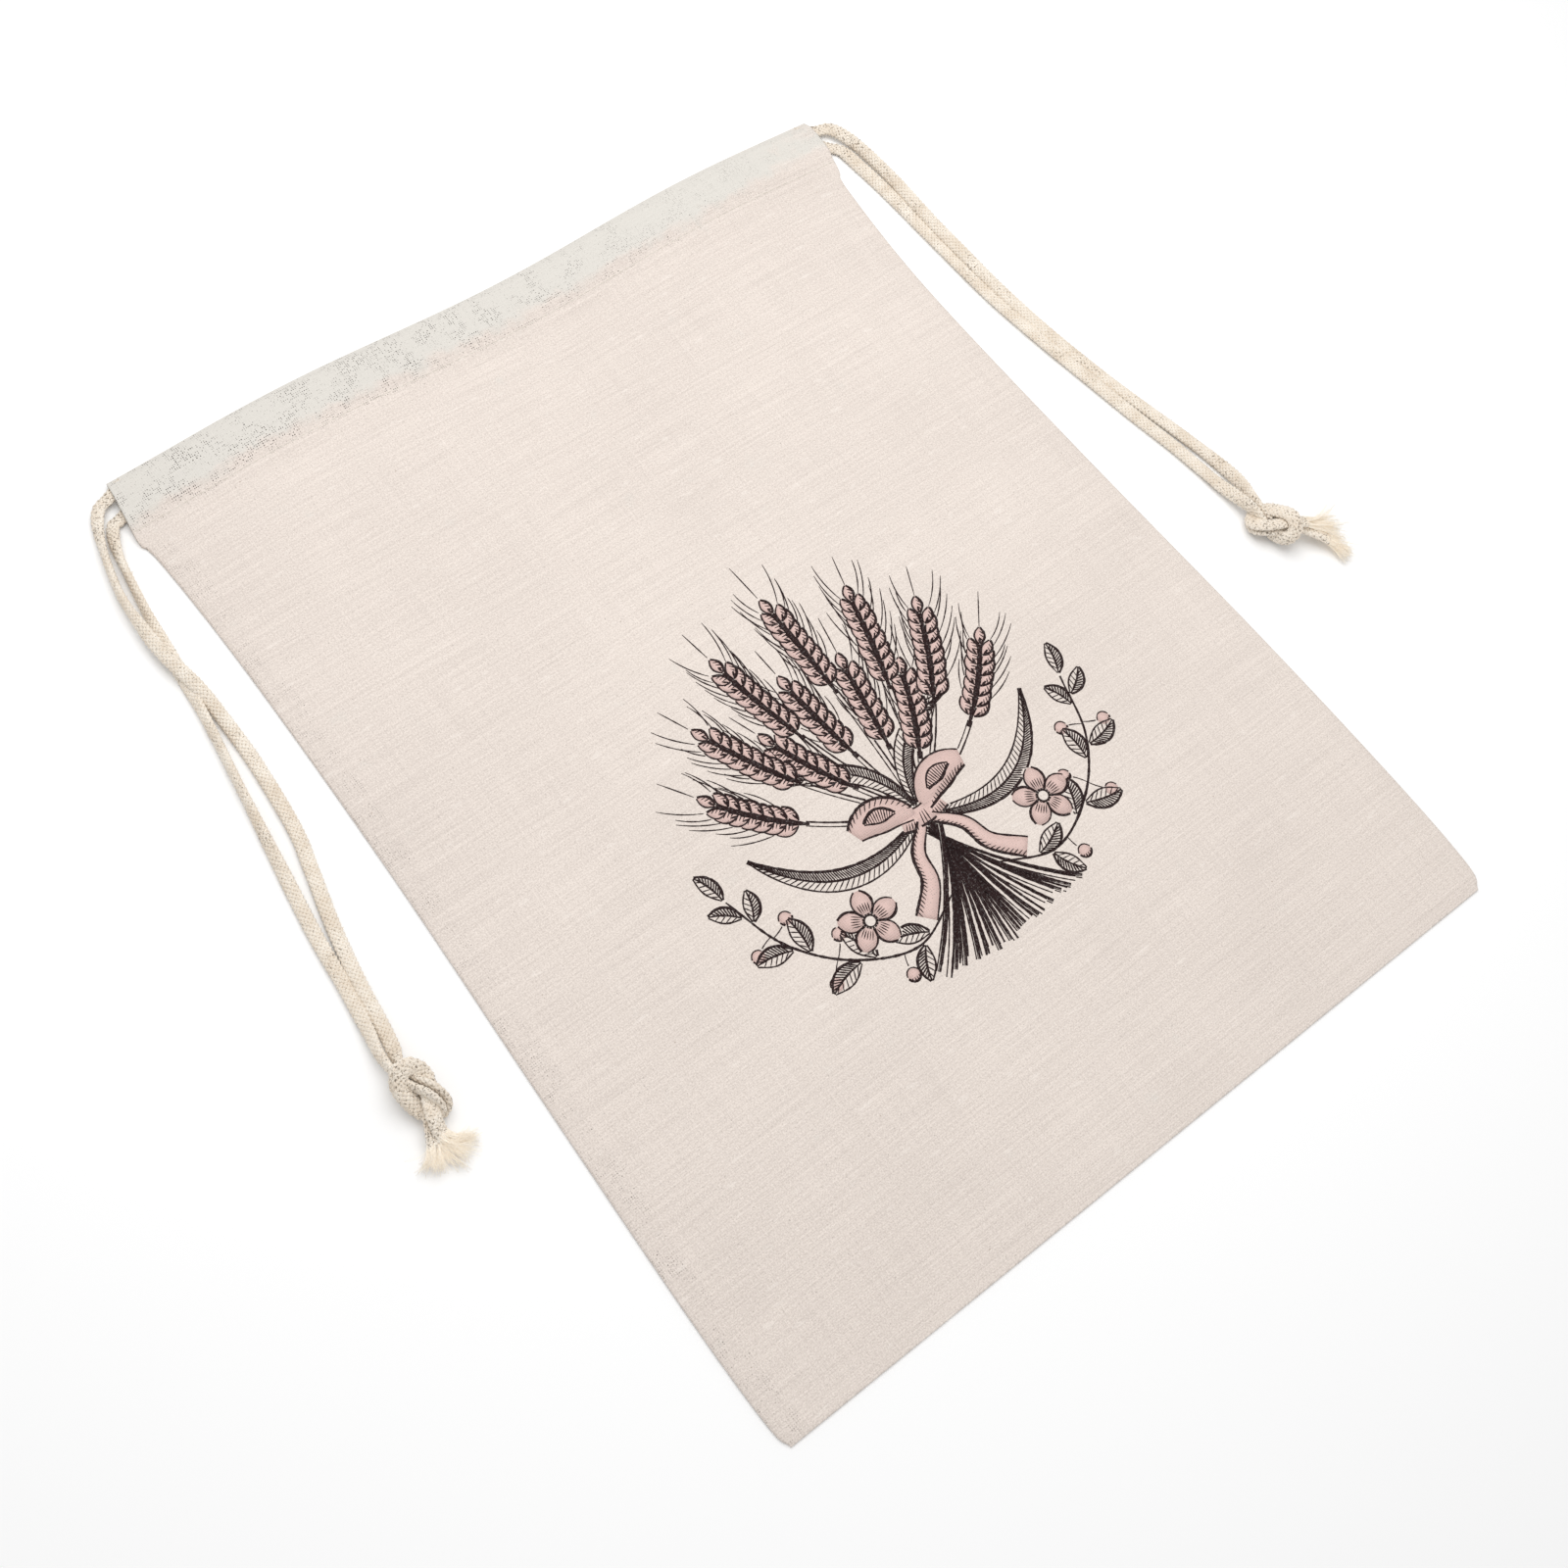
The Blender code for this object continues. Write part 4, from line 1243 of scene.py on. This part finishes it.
def swell(x, y):
    """How far the front stands off the back between the seams."""
    left, right = edges_at(y)
    across = (x - left) / (right - left)
    held = np.minimum(smoothstep(across, 0.0, 0.16), smoothstep(1.0 - across, 0.0, 0.16))
    held = held * smoothstep(y, BOTTOM_Y, BOTTOM_Y + 40.0) * fall(y, SEAM_END_Y - 30.0, SEAM_END_Y)
    total = 0.0
    for _, mid_x, mid_y, reach_x, reach_y, height in SWELLS:
        total = total + height * np.exp(-(((x - mid_x) / reach_x) ** 2) - ((y - mid_y) / reach_y) ** 2)
    return held * total


def ripple(x, y):
    """The low waves of cloth that lies loose."""
    total = 0.0
    for length, heading, phase, height in RIPPLES:
        ahead = x * math.cos(math.radians(heading)) + y * math.sin(math.radians(heading))
        total = total + height * np.sin(2 * math.pi * ahead / length + phase)
    return total


def seam_ridge(x, y):
    """The seam allowance inside each side lifts the front, and the edge itself rolls down to the seam."""
    depth = inset(x, y)
    uneven = 1.0 + 0.12 * np.sin(y / 7.3) + 0.1 * np.sin(y / 3.1 + 1.0)
    lift = ALLOWANCE_LIFT * uneven * smoothstep(depth, 0.0, 1.6)
    lift = lift * fall(depth, ALLOWANCE - 0.8, ALLOWANCE + 2.6)
    return lift * fall(y, SEAM_END_Y - 3.0, SEAM_END_Y + 5.0) * smoothstep(y, BOTTOM_Y, BOTTOM_Y + 3.0)


def puckers(x, y):
    """The casing's stitching draws the cloth into a shallow groove with short uneven puckers beside it."""
    phase = x / 1.75 + 1.3 * np.sin(x / 11.0) + 0.8 * np.sin(x / 4.7)
    groove = -0.12 * np.exp(-(((y - STITCH_Y) / 1.1) ** 2))
    return groove + 0.05 * np.sin(phase) * np.exp(-np.abs(y - STITCH_Y) / 4.0)


def layer_height(layer, x, y):
    """The height of a layer's middle surface."""
    base = LINEN / 2
    if layer == BACK_LAYER:
        return base + 0.2 * np.exp(-(((y - STITCH_Y) / 1.0) ** 2)) + 0 * x
    over_back = smoothstep(y, HEM_EDGE_Y + 1.2, BACK_CORD_Y - 1.6)
    if layer in (BACK_HEM, FRONT_HEM):
        over_back = over_back * fall(y, BACK_CORD_Y + 1.6, FRONT_CORD_Y - 2.4)
        return base + layer * PITCH + CORD_ROOM * over_back + 0 * x
    under = 1.0 + 2.0 * smoothstep(y, SEAM_END_Y + 1.0, HEM_EDGE_Y)
    over_both = over_back * fall(y, FRONT_CORD_Y + 1.4, MOUTH_Y + 0.6)
    over_both = over_both - 0.13 * np.exp(-(((y - BETWEEN_CORDS_Y) / 1.9) ** 2))
    relief = seam_ridge(x, y) + puckers(x, y)
    calm = smoothstep(inset(x, y), 0.0, 10.0)
    waves = (0.3 + ripple(x, y)) * calm * smoothstep(y, BOTTOM_Y, BOTTOM_Y + 12.0) * fall(y, 158.0, 166.0)
    return base + under * PITCH + CORD_ROOM * over_both + swell(x, y) + relief + waves


def strip_rows():
    """(y, layer, next layer, share of the next, bulge) for each row of the strip of cloth, from the front
    hem's edge up to the mouth, down the front, round the bottom, up the back and down the back hem."""
    hem = np.linspace(HEM_EDGE_Y, MOUTH_Y, 17)
    even = np.linspace(LOWEST_ROWS[-1], SEAM_END_Y - BOTTOM_Y, BODY_ROWS)
    body = np.concatenate([LOWEST_ROWS[:-1], even]) + BOTTOM_Y
    casing = np.linspace(SEAM_END_Y, MOUTH_Y, 30)[1:]
    front = np.concatenate([body, casing])
    fold = [(0.5 - 0.5 * math.cos(math.pi * k / FOLD_STEPS), math.sin(math.pi * k / FOLD_STEPS))
            for k in range(1, FOLD_STEPS)]
    rows = [(y, FRONT_HEM, FRONT_HEM, 0.0, 0.0) for y in hem]
    rows += [(MOUTH_Y, FRONT_HEM, FRONT_LAYER, share, out) for share, out in fold]
    rows += [(y, FRONT_LAYER, FRONT_LAYER, 0.0, 0.0) for y in front[::-1]]
    rows += [(BOTTOM_Y, FRONT_LAYER, BACK_LAYER, share, -out) for share, out in fold]
    rows += [(y, BACK_LAYER, BACK_LAYER, 0.0, 0.0) for y in front]
    rows += [(MOUTH_Y, BACK_LAYER, BACK_HEM, share, out) for share, out in fold]
    rows += [(y, BACK_HEM, BACK_HEM, 0.0, 0.0) for y in hem[::-1]]
    return rows


def cut_length(y, layer, following, share):
    """How far along the cut cloth a row is: the front is -y, and each fold mirrors what lies past it."""
    lengths = {
        FRONT_HEM: y - 2 * MOUTH_Y,
        FRONT_LAYER: -y,
        BACK_LAYER: y - 2 * BOTTOM_Y,
        BACK_HEM: 2 * MOUTH_Y - 2 * BOTTOM_Y - y,
    }
    return lengths[layer] * (1 - share) + lengths[following] * share


def columns_between(left, right):
    """The x of each column: close together by the edges, and even between."""
    edge = np.array(EDGE_COLUMNS)
    middle = np.linspace(left + edge[-1], right - edge[-1], MIDDLE_COLUMNS + 1)[1:-1]
    return np.concatenate([left + edge, middle, (right - edge)[::-1]])


def sew_side(bm, rows, grid, column, outward):
    """Closes one side up to the seam's end, with a rounded edge between front and back."""

    def edge(layer, following):
        return [grid[i][column] for i, row in enumerate(rows)
                if row[1:3] == (layer, following) and row[0] <= SEAM_END_Y + 0.01]

    turn = edge(FRONT_LAYER, BACK_LAYER)
    half = len(turn) // 2
    fronts = edge(FRONT_LAYER, FRONT_LAYER) + turn[:half]
    backs = edge(BACK_LAYER, BACK_LAYER)[::-1] + turn[::-1][:half]
    out = Vector((outward, 0.0, 0.0))
    creases = [bm.verts.new((high.co + low.co) / 2 + out) for high, low in zip(fronts, backs)]
    for i in range(len(fronts) - 1):
        bm.faces.new((fronts[i], fronts[i + 1], creases[i + 1], creases[i]))
        bm.faces.new((creases[i], creases[i + 1], backs[i + 1], backs[i]))
    bm.faces.new((fronts[-1], backs[-1], creases[-1]))


def linen_mesh():
    """The whole strip in its place, folded and sewn, as one surface. Its UV map is the cut cloth."""
    rows = strip_rows()
    count = 2 * len(EDGE_COLUMNS) + MIDDLE_COLUMNS - 1
    bm = bmesh.new()
    uv_layer = bm.loops.layers.uv.new("cloth")
    doubled, casing_shade = (bm.verts.layers.float.new(name) for name in ("doubled", "casing_shade"))
    bmesh.ops.create_grid(bm, x_segments=count - 1, y_segments=len(rows) - 1, size=0.5)
    bm.verts.ensure_lookup_table()
    grid = [[bm.verts[i * count + j] for j in range(count)] for i in range(len(rows))]
    flat = {}
    for (y, layer, following, share, bulge), verts in zip(rows, grid):
        x = columns_between(*edges_at(y))
        here, further = (layer_height(which, x, y) for which in (layer, following))
        z = here * (1 - share) + further * share
        out_y = y + mouth_wave(x, y) + bulge * PITCH / 2
        # Where the cloth lies double, at the casing and along the seam allowances, the material paints shade
        # into the gaps between threads
        band = 0.4 * fall(inset(x, y), ALLOWANCE - 0.5, ALLOWANCE + 1.0) * fall(y, 160.0, 166.0)
        tone = np.maximum(smoothstep(y, HEM_EDGE_Y - 1.0, HEM_EDGE_Y + 1.0), band)
        # How far painted shade greys the cloth, rising over the casing
        pale = float(smoothstep(y, HEM_EDGE_Y - 2.0, HEM_EDGE_Y + 12.0))
        length = cut_length(y, layer, following, share)
        for j, vert in enumerate(verts):
            vert.co = (x[j] * MM, out_y[j] * MM, z[j] * MM)
            vert[doubled], vert[casing_shade] = tone[j], pale
            flat[vert] = (x[j] * MM, length * MM)
    sew_side(bm, rows, grid, 0, -SEAM_BULGE * MM)
    sew_side(bm, rows, grid, count - 1, SEAM_BULGE * MM)
    for face in bm.faces:
        for loop in face.loops:
            loop[uv_layer].uv = flat.get(loop.vert, (loop.vert.co.x, -loop.vert.co.y))
    bmesh.ops.recalc_face_normals(bm, faces=bm.faces)
    mesh = bpy.data.meshes.new("bag_linen")
    bm.to_mesh(mesh)
    bm.free()
    mesh.materials.append(linen())
    mesh.shade_smooth()
    return mesh


def make_cloth():
    """The bag, with its stitches and its print."""
    cloth = add_object("bag_linen", linen_mesh())
    solid = cloth.modifiers.new("Cloth thickness", "SOLIDIFY")
    solid.thickness, solid.offset = LINEN * MM, 0.0
    solid.use_even_offset = solid.use_quality_normals = True
    finish_piece(cloth, "linen", "bag_cloth")
    on_it = [*sew_casing(), *draw_print()]


add_camera()
add_studio()
make_cords()
make_cloth()
